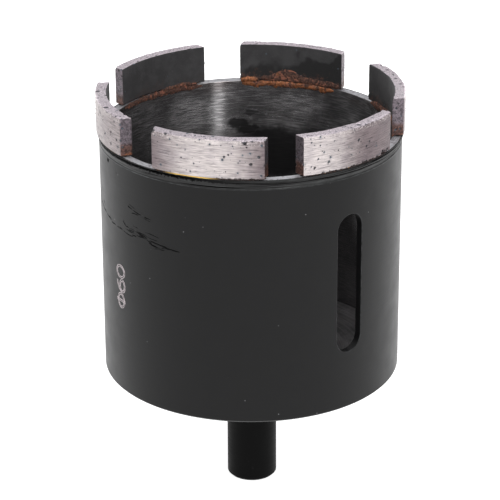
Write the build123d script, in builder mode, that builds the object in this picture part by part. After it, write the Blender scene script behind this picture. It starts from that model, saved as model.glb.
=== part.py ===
"""Diamond core bit: a slotted steel cup on a plain round shank, with a crown of brazed segments.

All sizes are in millimetres and all angles in degrees. The bit stands on the flat end of its
shank with its crown up. The origin is the centre of the shank's end, +Z runs along the axis of
rotation towards the crown, and +X passes through the middle of one slot.
"""

import os
from math import asin, cos, degrees, radians, sin, sqrt

from build123d import *

# Driving dimensions of the shank
shank_diameter = 10.0
shank_length = 26.0
shank_chamfer = 0.5
spigot_diameter = 8.0

# Driving dimensions of the crown
crown_diameter = 60.0
segment_count = 6
segment_width = 21.7
segment_thickness = 2.2
segment_height = 7.5
segment_edge = 0.25

# How far each segment was brazed past its even place, in order round the crown
segment_drift = [0.8, -0.3, 2.2, 3.3, 5.1, 4.4]

# How far the segments stand proud of the cup, so that it runs free in the hole that they cut
side_clearance = 0.5

# Driving dimensions of the cup
barrel_height = 49.5
barrel_wall = 1.6
barrel_chamfer = 0.35
rim_flare = 0.35
rim_band_height = 1.8
rim_band_depth = 0.12
rim_edge = 0.12
plate_thickness = 2.0
weld_height = 0.75
weld_width = 3.0

# Driving dimensions of the slots
slot_count = 2
slot_width = 6.0
slot_length = 28.2
slot_from_base = 11.9

# Driving dimensions of the braze
braze_seam = 0.35
braze_inset = 0.1
braze_climb = 0.9
braze_drop = 0.7
braze_bulge = 0.45
braze_bead_share = 0.94

# Levels along the axis
plate_bottom = shank_length
plate_top = plate_bottom + plate_thickness
rim_top = shank_length + barrel_height
rim_band_bottom = rim_top - rim_band_height
segment_bottom = rim_top + braze_seam
slot_middle = shank_length + slot_from_base + slot_length / 2

# Radii
crown_outer = crown_diameter / 2
crown_inner = crown_outer - segment_thickness
barrel_outer = crown_outer - side_clearance
barrel_inner = barrel_outer - barrel_wall
rim_outer = barrel_outer + rim_flare
shank_radius = shank_diameter / 2
spigot_radius = spigot_diameter / 2

os.makedirs("parts", exist_ok=True)


def write(piece, name):
    """Label a finished piece and write its STEP file."""
    piece.part.label = name
    export_step(piece.part, f"parts/{name}.step")


def upright_plane(angle, height):
    """A plane that faces outwards at an angle round the axis, with its own X pointing up."""
    outwards = (cos(radians(angle)), sin(radians(angle)), 0)
    return Plane(origin=(0, 0, height), x_dir=(0, 0, 1), z_dir=outwards)


# Barrel: a tube with its slots milled straight through the wall. Below the rim a turned band leaves
# a low ledge and opens in a shallow cone towards the crown
with BuildPart() as barrel:
    with BuildSketch(Plane.XZ):
        with BuildLine():
            Polyline(
                (barrel_inner, plate_bottom),
                (barrel_outer - barrel_chamfer, plate_bottom),
                (barrel_outer, plate_bottom + barrel_chamfer),
                (barrel_outer, rim_band_bottom),
                (barrel_outer - rim_band_depth, rim_band_bottom),
                (rim_outer, rim_top - rim_edge),
                (rim_outer - rim_edge, rim_top),
                (barrel_inner, rim_top),
                close=True,
            )
        make_face()
    revolve(axis=Axis.Z)
    for index in range(slot_count):
        with BuildSketch(upright_plane(360 / slot_count * index, slot_middle)):
            SlotOverall(slot_length, slot_width)
        extrude(amount=rim_outer, mode=Mode.SUBTRACT)
write(barrel, "barrel")

# End plate: a disc let into the barrel, flush with its lower end and bored for the spigot
with BuildPart() as end_plate:
    with BuildSketch(Plane.XY.offset(plate_bottom)):
        Circle(barrel_inner)
        Circle(spigot_radius, mode=Mode.SUBTRACT)
    extrude(amount=plate_thickness)
write(end_plate, "end_plate")

# Weld ring: the low, sloping bead in the corner between the plate and the wall
with BuildPart() as weld_ring:
    with BuildSketch(Plane.XZ):
        with BuildLine():
            Polyline(
                (barrel_inner - weld_width, plate_top),
                (barrel_inner, plate_top),
                (barrel_inner, plate_top + weld_height),
                close=True,
            )
        make_face()
    revolve(axis=Axis.Z)
write(weld_ring, "weld_ring")

# Shank: a plain round bar, shouldered to a spigot that fills the plate's bore
with BuildPart() as shank:
    with BuildSketch(Plane.XZ):
        with BuildLine():
            Polyline(
                (0, 0),
                (shank_radius - shank_chamfer, 0),
                (shank_radius, shank_chamfer),
                (shank_radius, plate_bottom),
                (spigot_radius, plate_bottom),
                (spigot_radius, plate_top),
                (0, plate_top),
                close=True,
            )
        make_face()
    revolve(axis=Axis.Z)
write(shank, "shank")


def crown_plane(angle, height):
    """A level plane turned about the axis, so that its own X points at one segment."""
    towards_segment = (cos(radians(angle)), sin(radians(angle)), 0)
    return Plane(origin=(0, 0, height), x_dir=towards_segment, z_dir=(0, 0, 1))


def curved_bar(plane, outer, inner, width):
    """The outline of a bar bent to the crown's curve, with both ends parallel to the plane's own X."""
    half_width = width / 2
    outer_reach = sqrt(outer**2 - half_width**2)
    inner_reach = sqrt(inner**2 - half_width**2)
    with BuildSketch(plane) as outline:
        with BuildLine():
            ThreePointArc((outer_reach, half_width), (outer, 0), (outer_reach, -half_width))
            Line((outer_reach, -half_width), (inner_reach, -half_width))
            ThreePointArc((inner_reach, -half_width), (inner, 0), (inner_reach, half_width))
            Line((inner_reach, half_width), (outer_reach, half_width))
        make_face()
    return outline.sketch


def bead_section(plane):
    """The section of the inner fillet, from the segment's face down over the barrel's wall."""
    root = (barrel_inner + crown_outer) / 2
    bead_top = (crown_inner, segment_bottom + braze_climb)
    bead_bottom = (barrel_inner, rim_top - braze_drop)
    bead_belly = (min(barrel_inner, crown_inner) - braze_bulge, (bead_top[1] + bead_bottom[1]) / 2)
    with BuildSketch(plane) as section:
        with BuildLine():
            ThreePointArc(bead_top, bead_belly, bead_bottom)
            Polyline(
                bead_bottom,
                (barrel_inner, rim_top),
                (root, rim_top),
                (root, segment_bottom),
                (crown_inner, segment_bottom),
                bead_top,
            )
        make_face()
    return section.sketch


def make_segment(angle):
    """One diamond segment, standing on its braze seam, with the edges of its cutting face broken."""
    bar = curved_bar(crown_plane(angle, segment_bottom), crown_outer, crown_inner, segment_width)
    with BuildPart() as segment:
        extrude(bar, amount=segment_height)
        chamfer(segment.edges().group_by(Axis.Z)[-1], segment_edge)
    return segment


def make_braze(angle):
    """The braze of one segment: a thin seam under it, joined to a fillet along its inner foot."""
    seam_inner = max(crown_inner, barrel_inner) + braze_inset
    seam_outer = min(crown_outer, rim_outer - rim_edge) - braze_inset
    seam_width = segment_width - 2 * braze_inset
    seam = curved_bar(crown_plane(angle, rim_top), seam_outer, seam_inner, seam_width)
    bead_arc = 2 * degrees(asin(seam_width / 2 / crown_inner)) * braze_bead_share
    bead = bead_section(Plane.XZ.rotated((0, 0, angle - bead_arc / 2)))
    with BuildPart() as braze:
        extrude(seam, amount=braze_seam)
        revolve(bead, axis=Axis.Z, revolution_arc=bead_arc)
    return braze


# Crown: the segments and their brazes, evenly spaced but for the drift of each
for index in range(segment_count):
    place = 360 / segment_count * index + segment_drift[index % len(segment_drift)]
    write(make_segment(place), f"segment_{index + 1}")
    write(make_braze(place), f"braze_{index + 1}")
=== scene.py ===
"""Dresses a packed diamond core bit: a slotted black cup, ground segments, copper braze, plain shank.

Everything stands in the bit's own frame: the origin is the centre of the shank's end, +Z runs up
the axis and +X passes through the middle of one slot. Blender counts in metres, so a size that is
written in millimetres stands beside MM.
"""

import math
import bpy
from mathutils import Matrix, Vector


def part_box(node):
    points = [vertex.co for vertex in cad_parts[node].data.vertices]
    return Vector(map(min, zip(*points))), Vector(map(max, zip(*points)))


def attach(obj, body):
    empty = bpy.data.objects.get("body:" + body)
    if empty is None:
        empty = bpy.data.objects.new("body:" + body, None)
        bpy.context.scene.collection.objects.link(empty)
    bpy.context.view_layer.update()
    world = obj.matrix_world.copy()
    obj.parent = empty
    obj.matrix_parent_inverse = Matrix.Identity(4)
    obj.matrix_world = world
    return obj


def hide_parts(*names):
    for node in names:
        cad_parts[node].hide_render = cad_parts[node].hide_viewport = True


bl_info = {
    "name": "Core Bit Finish",
    "version": (1, 0, 0),
    "blender": (4, 5, 0),
    "location": "View3D > Sidebar > Core Bit",
    "description": "Makes the visible surfaces of a diamond core bit and the studio round it",
    "category": "Add Mesh",
}

import bmesh
import bpy
import numpy as np
from bpy.props import FloatProperty, FloatVectorProperty, IntProperty, PointerProperty
from mathutils import Matrix, Vector

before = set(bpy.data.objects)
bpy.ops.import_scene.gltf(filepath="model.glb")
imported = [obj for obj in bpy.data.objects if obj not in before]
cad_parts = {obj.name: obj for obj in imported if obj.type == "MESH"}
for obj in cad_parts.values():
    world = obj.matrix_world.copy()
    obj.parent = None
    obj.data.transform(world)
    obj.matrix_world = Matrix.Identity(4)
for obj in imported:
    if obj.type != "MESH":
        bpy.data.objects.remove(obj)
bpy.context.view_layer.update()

MM = 0.001
TINY = 1e-9
SEGMENT_COUNT = 6
SLOT_COUNT = 2

# Places of the finishes on the cup
PAINT, BAND, RIM, BORE = range(4)

BARREL_LOW, BARREL_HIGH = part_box("barrel")
PLATE_LOW, PLATE_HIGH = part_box("end_plate")
WELD_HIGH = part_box("weld_ring")[1]
SHANK_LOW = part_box("shank")[0]
SEGMENT_LOW, SEGMENT_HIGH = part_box("segment_1")


def amount(name, description, value, **kind):
    """A plain number for the sidebar."""
    return FloatProperty(name=name, description=description, default=value, **kind)


def size(name, description, metres):
    """A length for the sidebar."""
    return amount(name, description, metres, min=0.0, precision=5, unit="LENGTH", subtype="DISTANCE")


def bearing(name, description, degrees):
    """An angle for the sidebar."""
    return amount(name, description, math.radians(degrees), unit="ROTATION", subtype="ANGLE")


def tone(red, green, blue):
    """Screen values from 0 to 255 as the linear colour that a shader reads."""
    screen = np.array((red, green, blue)) / 255
    linear = np.where(screen < 0.04045, screen / 12.92, ((screen + 0.055) / 1.055) ** 2.4)
    return tuple(float(value) for value in linear)


def triple(name, description, values, **kind):
    """Three numbers for the sidebar."""
    return FloatVectorProperty(name=name, description=description, default=values, size=3, **kind)


def colour(name, description, value):
    """A colour for the sidebar."""
    return triple(name, description, value, min=0.0, max=1.0, subtype="COLOR")


class CupSizes(bpy.types.PropertyGroup):
    """Sizes of the slotted cup."""

    base: size("Base", "Height of the cup's lower end", BARREL_LOW.z)
    rim_top: size("Rim top", "Height of the rim that the crown stands on", BARREL_HIGH.z)
    outer: size("Outer radius", "Radius of the painted wall", 29.5 * MM)
    inner: size("Inner radius", "Radius of the bore", 27.9 * MM)
    base_chamfer: size("Base chamfer", "Chamfer round the cup's lower end", 0.35 * MM)
    rim_flare: size("Rim flare", "How far the rim stands out past the wall", 0.35 * MM)
    band_height: size("Band height", "Height of the turned band under the rim", 1.8 * MM)
    band_depth: size("Band depth", "Depth of the ledge under the turned band", 0.12 * MM)
    edge: size("Edge", "Radius left on turned and milled edges", 0.12 * MM)
    slot_width: size("Slot width", "Width of each slot", 6.0 * MM)
    slot_length: size("Slot length", "Length of each slot over its round ends", 28.2 * MM)
    slot_from_base: size("Slot from base", "From the cup's lower end to the slot", 11.9 * MM)
    scuff_depth: size("Scuff depth", "Depth of the scuffs in the paint", 0.06 * MM)
    tool_mark: size("Tool mark", "Depth of the lathe's marks in the band", 0.018 * MM)
    rim_burr: size("Rim burr", "How far the rim's outer edge wanders", 0.07 * MM)


class BaseSizes(bpy.types.PropertyGroup):
    """Sizes of the end plate, the weld and the shank."""

    plate_bottom: size("Plate bottom", "Height of the plate's outer face", PLATE_LOW.z)
    plate_top: size("Plate top", "Height of the plate's inner face", PLATE_HIGH.z)
    plate_radius: size("Plate radius", "Radius of the plate, which fills the bore", 27.9 * MM)
    weld_top: size("Weld top", "Height of the weld where it meets the wall", WELD_HIGH.z)
    weld_width: size("Weld width", "Width of the weld on the plate", 3.0 * MM)
    weld_belly: size("Weld belly", "How far the weld's slope bulges in its middle", 0.1 * MM)
    weld_ripple: size("Weld ripple", "How far the weld's slope rises and falls", 0.07 * MM)
    shank_radius: size("Shank radius", "Radius of the plain shank", 5.0 * MM)
    shank_chamfer: size("Shank chamfer", "Chamfer at the shank's end", 0.5 * MM)
    spigot_radius: size("Spigot radius", "Radius of the spigot in the plate", 4.0 * MM)
    edge: size("Edge", "Radius left on turned edges", 0.08 * MM)


class CrownSizes(bpy.types.PropertyGroup):
    """Sizes of the segments and of the braze under them."""

    outer: size("Outer radius", "Radius that the crown cuts to", 30.0 * MM)
    inner: size("Inner radius", "Radius of the segments' inner faces", 27.8 * MM)
    width: size("Segment width", "Width of a segment between its parallel ends", 21.7 * MM)
    bottom: size("Segment bottom", "Height of the segments' feet", SEGMENT_LOW.z)
    top: size("Crown top", "Height of the cutting faces", SEGMENT_HIGH.z)
    edge_break: size("Edge break", "Radius of the least worn edge", 0.12 * MM)
    grain: size("Grain", "Size of the largest diamond grains", 0.26 * MM)
    grain_count: amount("Grains", "Grains on a square millimetre", 0.25, min=0.0)
    seam: size("Seam", "Thickness of the braze under a segment", 0.35 * MM)
    seam_inset: size("Seam inset", "How far inside the crown's radius the seam stays", 0.12 * MM)
    seam_lump: size("Seam lumps", "How far the seam's surface rises and falls", 0.16 * MM)
    seam_clean: amount("Seam clean", "How clean the outer seam is", 0.0)
    bead_bite: size("Bead bite", "How far inside the wall a bead is rooted", 0.1 * MM)
    seed: IntProperty(name="Seed", description="Seed of the wear, the grains and the braze", default=7)


class FinishColours(bpy.types.PropertyGroup):
    """Colours of the surfaces."""

    paint: colour("Paint", "Satin paint outside the cup", (0.0045, 0.0045, 0.0047))
    shank: colour("Shank", "Satin finish of the shank", (0.002, 0.002, 0.002))
    bore: colour("Bore", "Turned steel inside the cup", tone(152, 150, 151))
    rim: colour("Rim", "Ground steel on top of the rim", tone(190, 190, 194))
    ground: colour("Ground face", "Ground outer face of a segment", tone(208, 199, 197))
    sinter: colour("Sinter", "Broken surface of a segment's top", tone(186, 176, 182))
    end_face: colour("End face", "Surface of a segment's ends", tone(106, 97, 103))
    soot: colour("Soot", "Inner faces of the segments", tone(57, 56, 57))
    copper: colour("Copper", "Clean braze", tone(186, 118, 78))
    scale: colour("Scale", "Oxide on the braze", tone(86, 58, 48))
    mark: colour("Size mark", "Print of the size mark", tone(192, 182, 184))


class MarkSizes(bpy.types.PropertyGroup):
    """Sizes and place of the printed size mark."""

    letters: size("Letters", "Height of the figures", 2.8 * MM)
    height: size("Height", "Height of the print's lower end", 44.1 * MM)
    angle: bearing("Angle", "Where the print stands, round the axis from +X", -94.8)
    line: size("Line", "Width of a printed line", 0.17 * MM)
    gap: size("Gap", "Between the two lines of a stroke, from middle to middle", 0.34 * MM)
    thickness: size("Thickness", "Thickness of the print", 0.05 * MM)
    step: size("Step", "Between two points of a curved stroke", 0.12 * MM)


class StudioSizes(bpy.types.PropertyGroup):
    """The camera and the light."""

    azimuth: bearing("Azimuth", "Where the camera stands, counted from the view along +Y", 51.1)
    elevation: bearing("Elevation", "How far the camera looks down", 22.27)
    roll: bearing("Roll", "How far the camera leans", -0.379)
    distance: size("Distance", "From the camera to the point that it aims at", 446.88 * MM)
    aim: triple("Aim", "The point that the camera aims at, in millimetres", (-1.612, -1.998, 53.671))
    lens: amount("Lens", "Focal length in millimetres", 162.38, unit="CAMERA")
    shift_x: amount("Shift across", "How far the picture is moved across, in its widths", 0.0239)
    shift_y: amount("Shift up", "How far the picture is moved up, in its widths", -0.0398)
    floor: size("Floor", "Side of the pale floor", 6.0)


# Node trees


def sign(operation, swapped=False):
    """A method that writes one sign of a sum as a node."""

    def method(value, other):
        pair = (other, value) if swapped else (value, other)
        return value.graph.maths(operation, *pair)

    return method


class Value:
    """An output of a node, which can stand in sums with numbers and with other outputs."""

    def __init__(self, graph, socket):
        self.graph = graph
        self.socket = socket
        self.node = socket.node

    __add__ = sign("ADD")
    __radd__ = sign("ADD", swapped=True)
    __sub__ = sign("SUBTRACT")
    __rsub__ = sign("SUBTRACT", swapped=True)
    __mul__ = sign("MULTIPLY")
    __rmul__ = sign("MULTIPLY", swapped=True)
    __truediv__ = sign("DIVIDE")
    __rtruediv__ = sign("DIVIDE", swapped=True)
    __pow__ = sign("POWER")

    def __abs__(self):
        return self.graph.maths("ABSOLUTE", self)


class Graph:
    """Builds a tree of nodes, of a shape or of a finish, out of short calls."""

    def __init__(self, tree):
        self.tree = tree

    def add(self, kind, inputs, output=0, **settings):
        """Add a node, set or link its inputs, and return one of its outputs."""
        node = self.tree.nodes.new(kind)
        for name, value in settings.items():
            setattr(node, name, value)
        for key, value in inputs.items():
            if value is None:
                continue
            self.feed(node, key, value)
        return None if output is None else Value(self, node.outputs[output])

    def feed(self, node, key, value):
        """Set or link one input of a node, found by its name or its number."""
        if isinstance(key, str):
            socket = next(s for s in node.inputs if s.name == key and s.enabled)
        else:
            socket = node.inputs[key]
        self.fill(socket, value)

    def fill(self, socket, value):
        """Link a socket to an output, or set its own value."""
        if isinstance(value, Value):
            self.tree.links.new(value.socket, socket)
        elif socket.type == "RGBA":
            socket.default_value = (*value, 1.0)
        else:
            socket.default_value = value

    def maths(self, operation, *values, clamp=False):
        return self.add("ShaderNodeMath", dict(enumerate(values)), operation=operation, use_clamp=clamp)

    def vector(self, operation, *values, output=0):
        return self.add("ShaderNodeVectorMath", dict(enumerate(values)), output, operation=operation)

    def scaled(self, vector, factor):
        return self.add("ShaderNodeVectorMath", {0: vector, "Scale": factor}, operation="SCALE")

    def parts(self, vector):
        """The X, Y and Z of a vector."""
        node = self.add("ShaderNodeSeparateXYZ", {0: vector}).node
        return tuple(Value(self, socket) for socket in node.outputs)

    def join(self, x, y, z):
        return self.add("ShaderNodeCombineXYZ", {0: x, 1: y, 2: z})

    def length(self, vector):
        return self.vector("LENGTH", vector, output=1)

    def from_axis(self, x, y):
        """How far a point lies from the bit's axis."""
        return self.length(self.join(x, y, 0.0))

    def round_axis(self, radius, angle, height):
        """The point at a radius, an angle and a height."""
        return self.join(radius * self.maths("COSINE", angle), radius * self.maths("SINE", angle), height)

    def noise(self, vector, cell, detail=2.0, roughness=0.5, seed=None, distortion=0.0):
        """Noise from 0 to 1 whose lumps are about a cell across."""
        inputs = {
            "Vector": vector,
            "Scale": 1 / cell,
            "Detail": detail,
            "Roughness": roughness,
            "Distortion": distortion,
        }
        if seed is None:
            return self.add("ShaderNodeTexNoise", inputs)
        return self.add("ShaderNodeTexNoise", {**inputs, "W": seed}, noise_dimensions="4D")

    def specks(self, vector, cell):
        """The distance to the nearest scattered point, in cells, and that point's random colour."""
        distance = self.add("ShaderNodeTexVoronoi", {"Vector": vector, "Scale": 1 / cell})
        return distance, Value(self, distance.node.outputs["Color"])

    def ease(self, value, low, high, from_value=0.0, to_value=1.0):
        """A smooth step from one value to another as the input goes from low to high."""
        inputs = {"Value": value, 1: low, 2: high, 3: from_value, 4: to_value}
        return self.add("ShaderNodeMapRange", inputs, interpolation_type="SMOOTHSTEP")

    def blend(self, factor, first, second, how="MIX"):
        """Mix two colours."""
        inputs = {0: factor, 6: first, 7: second}
        return self.add("ShaderNodeMix", inputs, 2, data_type="RGBA", blend_type=how)

    def shades(self, value, low, high, colour, dark, light):
        """A colour that goes from a dark gain to a light one as a value goes from low to high."""
        return self.blend(self.ease(value, low, high), lit(colour, dark), lit(colour, light))

    def between(self, factor, first, second):
        """Mix two numbers."""
        return self.add("ShaderNodeMix", {0: factor, 2: first, 3: second}, 0, data_type="FLOAT")

    def chord(self, radius, offset):
        """How far out a circle lies at an offset from its middle line."""
        return self.maths("SQRT", radius**2.0 - offset**2.0)

    def keep(self, geometry, name, value, kind):
        """Store a value on a geometry's points under a name."""
        inputs = {"Geometry": geometry, "Name": name, "Value": value}
        return self.add("GeometryNodeStoreNamedAttribute", inputs, data_type=kind, domain="POINT")

    def kept(self, name, kind="FLOAT"):
        """The value that was stored under a name."""
        return self.add("GeometryNodeInputNamedAttribute", {"Name": name}, data_type=kind)

    def gathered(self, *geometries):
        """Several geometries as one."""
        joined = self.add("GeometryNodeJoinGeometry", {})
        for geometry in geometries:
            self.feed(joined.node, 0, geometry)
        return joined


def lit(colour, gain):
    """A colour that is darker or lighter by a gain."""
    return tuple(min(1.0, value * gain) for value in colour)


class Finish(Graph):
    """A material, with plain values set on its shader's own sockets."""

    def __init__(self, name, **settings):
        self.material = bpy.data.materials.new(name)
        self.material.use_nodes = True
        super().__init__(self.material.node_tree)
        self.shader = next(node for node in self.tree.nodes if node.type == "BSDF_PRINCIPLED")
        for key, value in settings.items():
            self.set(key.replace("_", " "), value)

    def set(self, label, value):
        """Set or link one of the shader's sockets, its name in any case."""
        self.fill(next(s for s in self.shader.inputs if s.name.lower() == label.lower()), value)

    def place(self):
        """Object coordinates, which are the bit's own frame in metres."""
        return self.add("ShaderNodeTexCoord", {}, "Object")

    def attribute(self, name, output="Fac"):
        return self.add("ShaderNodeAttribute", {}, output, attribute_name=name)

    def bump(self, height, distance, strength=1.0, under=None):
        """Relief of a real depth, over other relief if there is any."""
        inputs = {"Height": height, "Distance": distance, "Strength": strength, "Normal": under}
        return self.add("ShaderNodeBump", inputs)

    def turned(self, place, along, across, level=True, detail=3.0, roughness=0.5):
        """Noise in lines round the axis, long along them and fine across.

        Level lines lie one above another on a wall, and the others lie one inside another on a face.
        """
        x, y, z = self.parts(place)
        fine = z if level else self.from_axis(x, y)
        lines = self.join(x / along, y / along, fine / across)
        return self.noise(lines, 1.0, detail=detail, roughness=roughness)

    def outwards(self, place):
        """The direction away from the axis."""
        x, y, _ = self.parts(place)
        return self.vector("NORMALIZE", self.join(x, y, 0.0))

    def facing(self, place, degrees):
        """How squarely each point faces an angle round the axis: 1 is straight at it, -1 away from it."""
        turn = math.radians(degrees)
        towards = (math.cos(turn), math.sin(turn), 0.0)
        return self.vector("DOT_PRODUCT", self.outwards(place), towards, output=1)


# Finishes


def slot_centres(cup):
    """Heights of the centres of a slot's two round ends."""
    lower = cup.base + cup.slot_from_base + cup.slot_width / 2
    return lower, lower + cup.slot_length - cup.slot_width


def satin_paint(colours, cup):
    """Satin black on the cup: turning lines under it, orange peel, dust, a painted highlight along its
    ledge and slot edges, and dark scuffs.
    """
    paint = Finish("satin_paint", Specular_IOR_Level=0.2)
    place = paint.place()
    cloud = paint.noise(place, 4 * MM, detail=4.0)
    lines = paint.turned(place, 9 * MM, 0.35 * MM, detail=4.0)
    scuff = paint.ease(paint.attribute("scuff"), 0.18, 0.6)
    base = paint.blend(cloud, lit(colours.paint, 0.8), lit(colours.paint, 1.25))
    distance, random = paint.specks(place, 2.4 * MM)
    dust = paint.ease(distance, 0.03, 0.06, 1.0, 0.0) * paint.ease(random, 0.66, 0.67)
    base = paint.blend(dust, base, lit(colours.paint, 30.0))

    # Painted highlight: a thin lighter grey line along the ledge under the band and round the slots'
    # edges, fainter on the side that faces -30 degrees, broken into patches
    x, y, z = paint.parts(place)
    ledge = cup.rim_top - cup.band_height
    highlight_side_strength = paint.ease(paint.facing(place, -30.0), 0.6, 0.92, 1.0, 0.3)
    thin = paint.ease(z, ledge - 0.3 * MM, ledge - 0.16 * MM) * highlight_side_strength
    lower, upper = slot_centres(cup)
    middle = paint.maths("MINIMUM", paint.maths("MAXIMUM", z, lower), upper)
    away = abs(paint.length(paint.join(0.0, y, z - middle)) - cup.slot_width / 2)
    radius = paint.from_axis(x, y)
    outside = paint.ease(radius, cup.outer - 2 * cup.edge, cup.outer - 0.5 * cup.edge, 0.0, 0.45)
    worn_print_and_edge_highlight = paint.ease(away, 0.02 * MM, 0.2 * MM, 1.0, 0.0) * outside
    patches = paint.noise(place, 1.1 * MM, detail=4.0)
    thin = paint.maths("MAXIMUM", thin, worn_print_and_edge_highlight) * paint.ease(patches, 0.35, 0.65, 0.2, 1.0)
    # Painted highlight: the thin grey line along the ledge and round the slot edges
    base = paint.blend(thin, base, tone(80, 82, 83))
    paint.set("Base Color", paint.blend(scuff, base, lit(colours.paint, 0.8)))
    rough = paint.ease(cloud, 0.3, 0.7, 0.3, 0.36) + lines * 0.05
    paint.set("Roughness", paint.between(scuff, rough, 0.9))
    paint.set("Metallic", scuff * 0.6)
    peel = paint.noise(place, 0.5 * MM, detail=2.0)
    relief = paint.bump(lines, 0.01 * MM)
    paint.set("Normal", paint.bump(peel, 0.003 * MM, under=relief))
    return paint.material


def turned_band(colours, cup):
    """The painted band under the rim, still rough from the lathe, its crests rubbed to grey."""
    band = Finish("turned_band", Specular_IOR_Level=0.35)
    place = band.place()
    lines = band.turned(place, 22 * MM, 0.26 * MM, roughness=0.6)
    patches = band.noise(place, 2.4 * MM, detail=4.0, roughness=0.6)
    crest = band.ease(lines, 0.55, 0.63) * band.ease(patches, 0.36, 0.6, 0.15, 0.7)
    _, _, z = band.parts(place)

    # Bare black shows between the lines, and in a ragged border along the top of one side
    ragged = band.noise(place, 0.5 * MM, detail=5.0, roughness=0.75) * (2.4 * MM) + z
    black = band.ease(ragged, cup.rim_top + 0.45 * MM, cup.rim_top + 0.65 * MM)
    black *= band.ease(band.facing(place, -115.0), 0.15, 0.75, 0.15, 1.0)
    gap = band.maths("MAXIMUM", band.ease(lines, 0.47, 0.4), black)
    base = band.blend(crest, lit(colours.paint, 0.9), tone(60, 62, 62))
    band.set("Base Color", band.blend(gap, base, lit(colours.paint, 0.1)))
    band.set("Roughness", band.between(gap, band.between(crest, 0.4, 0.34), 0.9))
    band.set("Metallic", band.maths("MAXIMUM", gap, crest * 0.3))
    band.set("Normal", band.bump(lines, 0.02 * MM))
    return band.material


def ground_rim(colours, cup):
    """Ground steel on top of the rim, under a ragged border of paint at its outer edge."""
    rim = Finish("ground_rim")
    place = rim.place()
    x, y, _ = rim.parts(place)
    radius = rim.from_axis(x, y)
    ragged = rim.noise(place, 0.45 * MM, detail=5.0, roughness=0.8)
    border = radius + ragged * (0.9 * MM)
    painted = rim.ease(border, cup.outer + 0.38 * MM, cup.outer + 0.46 * MM)
    lines = rim.turned(place, 3 * MM, 0.16 * MM, level=False)
    cloud = rim.noise(place, 0.9 * MM, detail=5.0, roughness=0.7)
    steel = rim.shades(lines, 0.35, 0.65, colours.rim, 0.62, 1.1)
    steel = rim.blend(rim.ease(cloud, 0.5, 0.66, 0.0, 0.8), steel, tone(112, 100, 106))
    rim.set("Base Color", rim.blend(painted, steel, colours.paint))
    rim.set("Metallic", rim.between(painted, 0.4, 0.0))
    rim.set("Roughness", rim.between(painted, 0.45, 0.5))
    rim.set("Normal", rim.bump(lines, 0.02 * MM))
    return rim.material


# Smears of soot in the bore: angle in degrees and height, half length and half height in
# millimetres, then how dark they are
SMEARS = (
    (146.0, 66.3, 3.3, 1.5, 0.95),
    (141.6, 65.0, 3.4, 1.5, 0.95),
    (140.6, 68.6, 1.8, 1.0, 0.85),
    (136.6, 67.6, 2.4, 0.9, 0.7),
    (131.0, 60.0, 11.0, 8.0, 0.95),
    (112.0, 59.8, 10.0, 8.4, 0.95),
    (94.0, 72.0, 8.0, 6.5, 0.7),
)

# Painted highlights in the bore: places lightened along the lathe lines to stand in for reflected light,
# in the same terms
BORE_HIGHLIGHTS = (
    (168.5, 69.0, 5.2, 5.0, 1.0),
    (120.0, 71.0, 5.5, 2.6, 0.6),
)


def bore_places(graph, place, cup, rows, ragged):
    """From 0 to 1, how far a table of places on the bore covers each point, with ragged borders."""
    warp = graph.add("ShaderNodeTexNoise", {"Vector": place, "Scale": 1 / (1.2 * MM), "Detail": 3.0}, 1)
    warp = graph.scaled(graph.vector("SUBTRACT", warp, (0.5, 0.5, 0.5)), ragged)
    covered = 0.0
    for turn, level, long, high, strength in rows:
        turn = math.radians(turn)
        middle = (cup.inner * math.cos(turn), cup.inner * math.sin(turn), level * MM)
        away = graph.vector("SUBTRACT", graph.vector("ADD", place, warp), middle)
        away = graph.vector("DIVIDE", away, (long * MM, long * MM, high * MM))
        mark = graph.ease(graph.length(away), 0.55, 1.15, strength, 0.0)
        covered = graph.maths("MAXIMUM", covered, mark)
    return covered


def turned_bore(colours, cup):
    """The bare bore: bright lathe lines on dark steel, heat under the crown, soot, painted highlights and
    painted shade towards the bottom.
    """
    bore = Finish("turned_bore", Specular_IOR_Level=0.4, Anisotropic=0.9)
    place = bore.place()
    _, _, z = bore.parts(place)
    lines = bore.turned(place, 2.8 * MM, 0.22 * MM, roughness=0.5)
    cloud = bore.noise(place, 5 * MM, detail=4.0)
    # Painted shade: the bright lathe lines fade towards the bottom of the bore
    high_up = bore.ease(z, 60 * MM, 68 * MM)
    streak = bore.ease(lines, 0.38, 0.72) * bore.between(high_up, 0.35, 1.0)
    steel = bore.blend(streak, lit(colours.bore, 0.8), lit(colours.bore, 2.0))
    steel = bore.blend(bore.ease(cloud, 0.4, 0.7, 0.0, 0.5), steel, lit(colours.bore, 0.5))
    # Painted shade: the steel darkens towards the bottom of the bore
    steel = bore.blend(bore.ease(z, 58 * MM, 69 * MM, 0.35, 0.0), steel, lit(colours.bore, 0.1))
    heat = bore.ease(z, cup.rim_top - 3.2 * MM, cup.rim_top - 0.6 * MM) * bore.ease(cloud, 0.35, 0.6)
    steel = bore.blend(heat * 0.3, steel, tone(84, 56, 42))

    # Painted highlight: the listed places lightened along the lathe lines
    rubbed_wear_and_highlight = bore_places(bore, place, cup, BORE_HIGHLIGHTS, 3.0 * MM) * bore.ease(lines, 0.4, 0.6, 0.3, 1.0)
    steel = bore.blend(rubbed_wear_and_highlight, steel, lit(colours.bore, 2.9))
    sooty = bore_places(bore, place, cup, SMEARS, 2.1 * MM)
    bore.set("Base Color", bore.blend(sooty, steel, tone(27, 26, 27)))
    bore.set("Metallic", 0.9)
    bore.set("Roughness", bore.between(sooty, 0.22, 0.5))
    bore.set("Tangent", bore.join(0.0, 0.0, 1.0))
    bore.set("Normal", bore.bump(lines, 0.006 * MM))
    return bore.material


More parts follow.
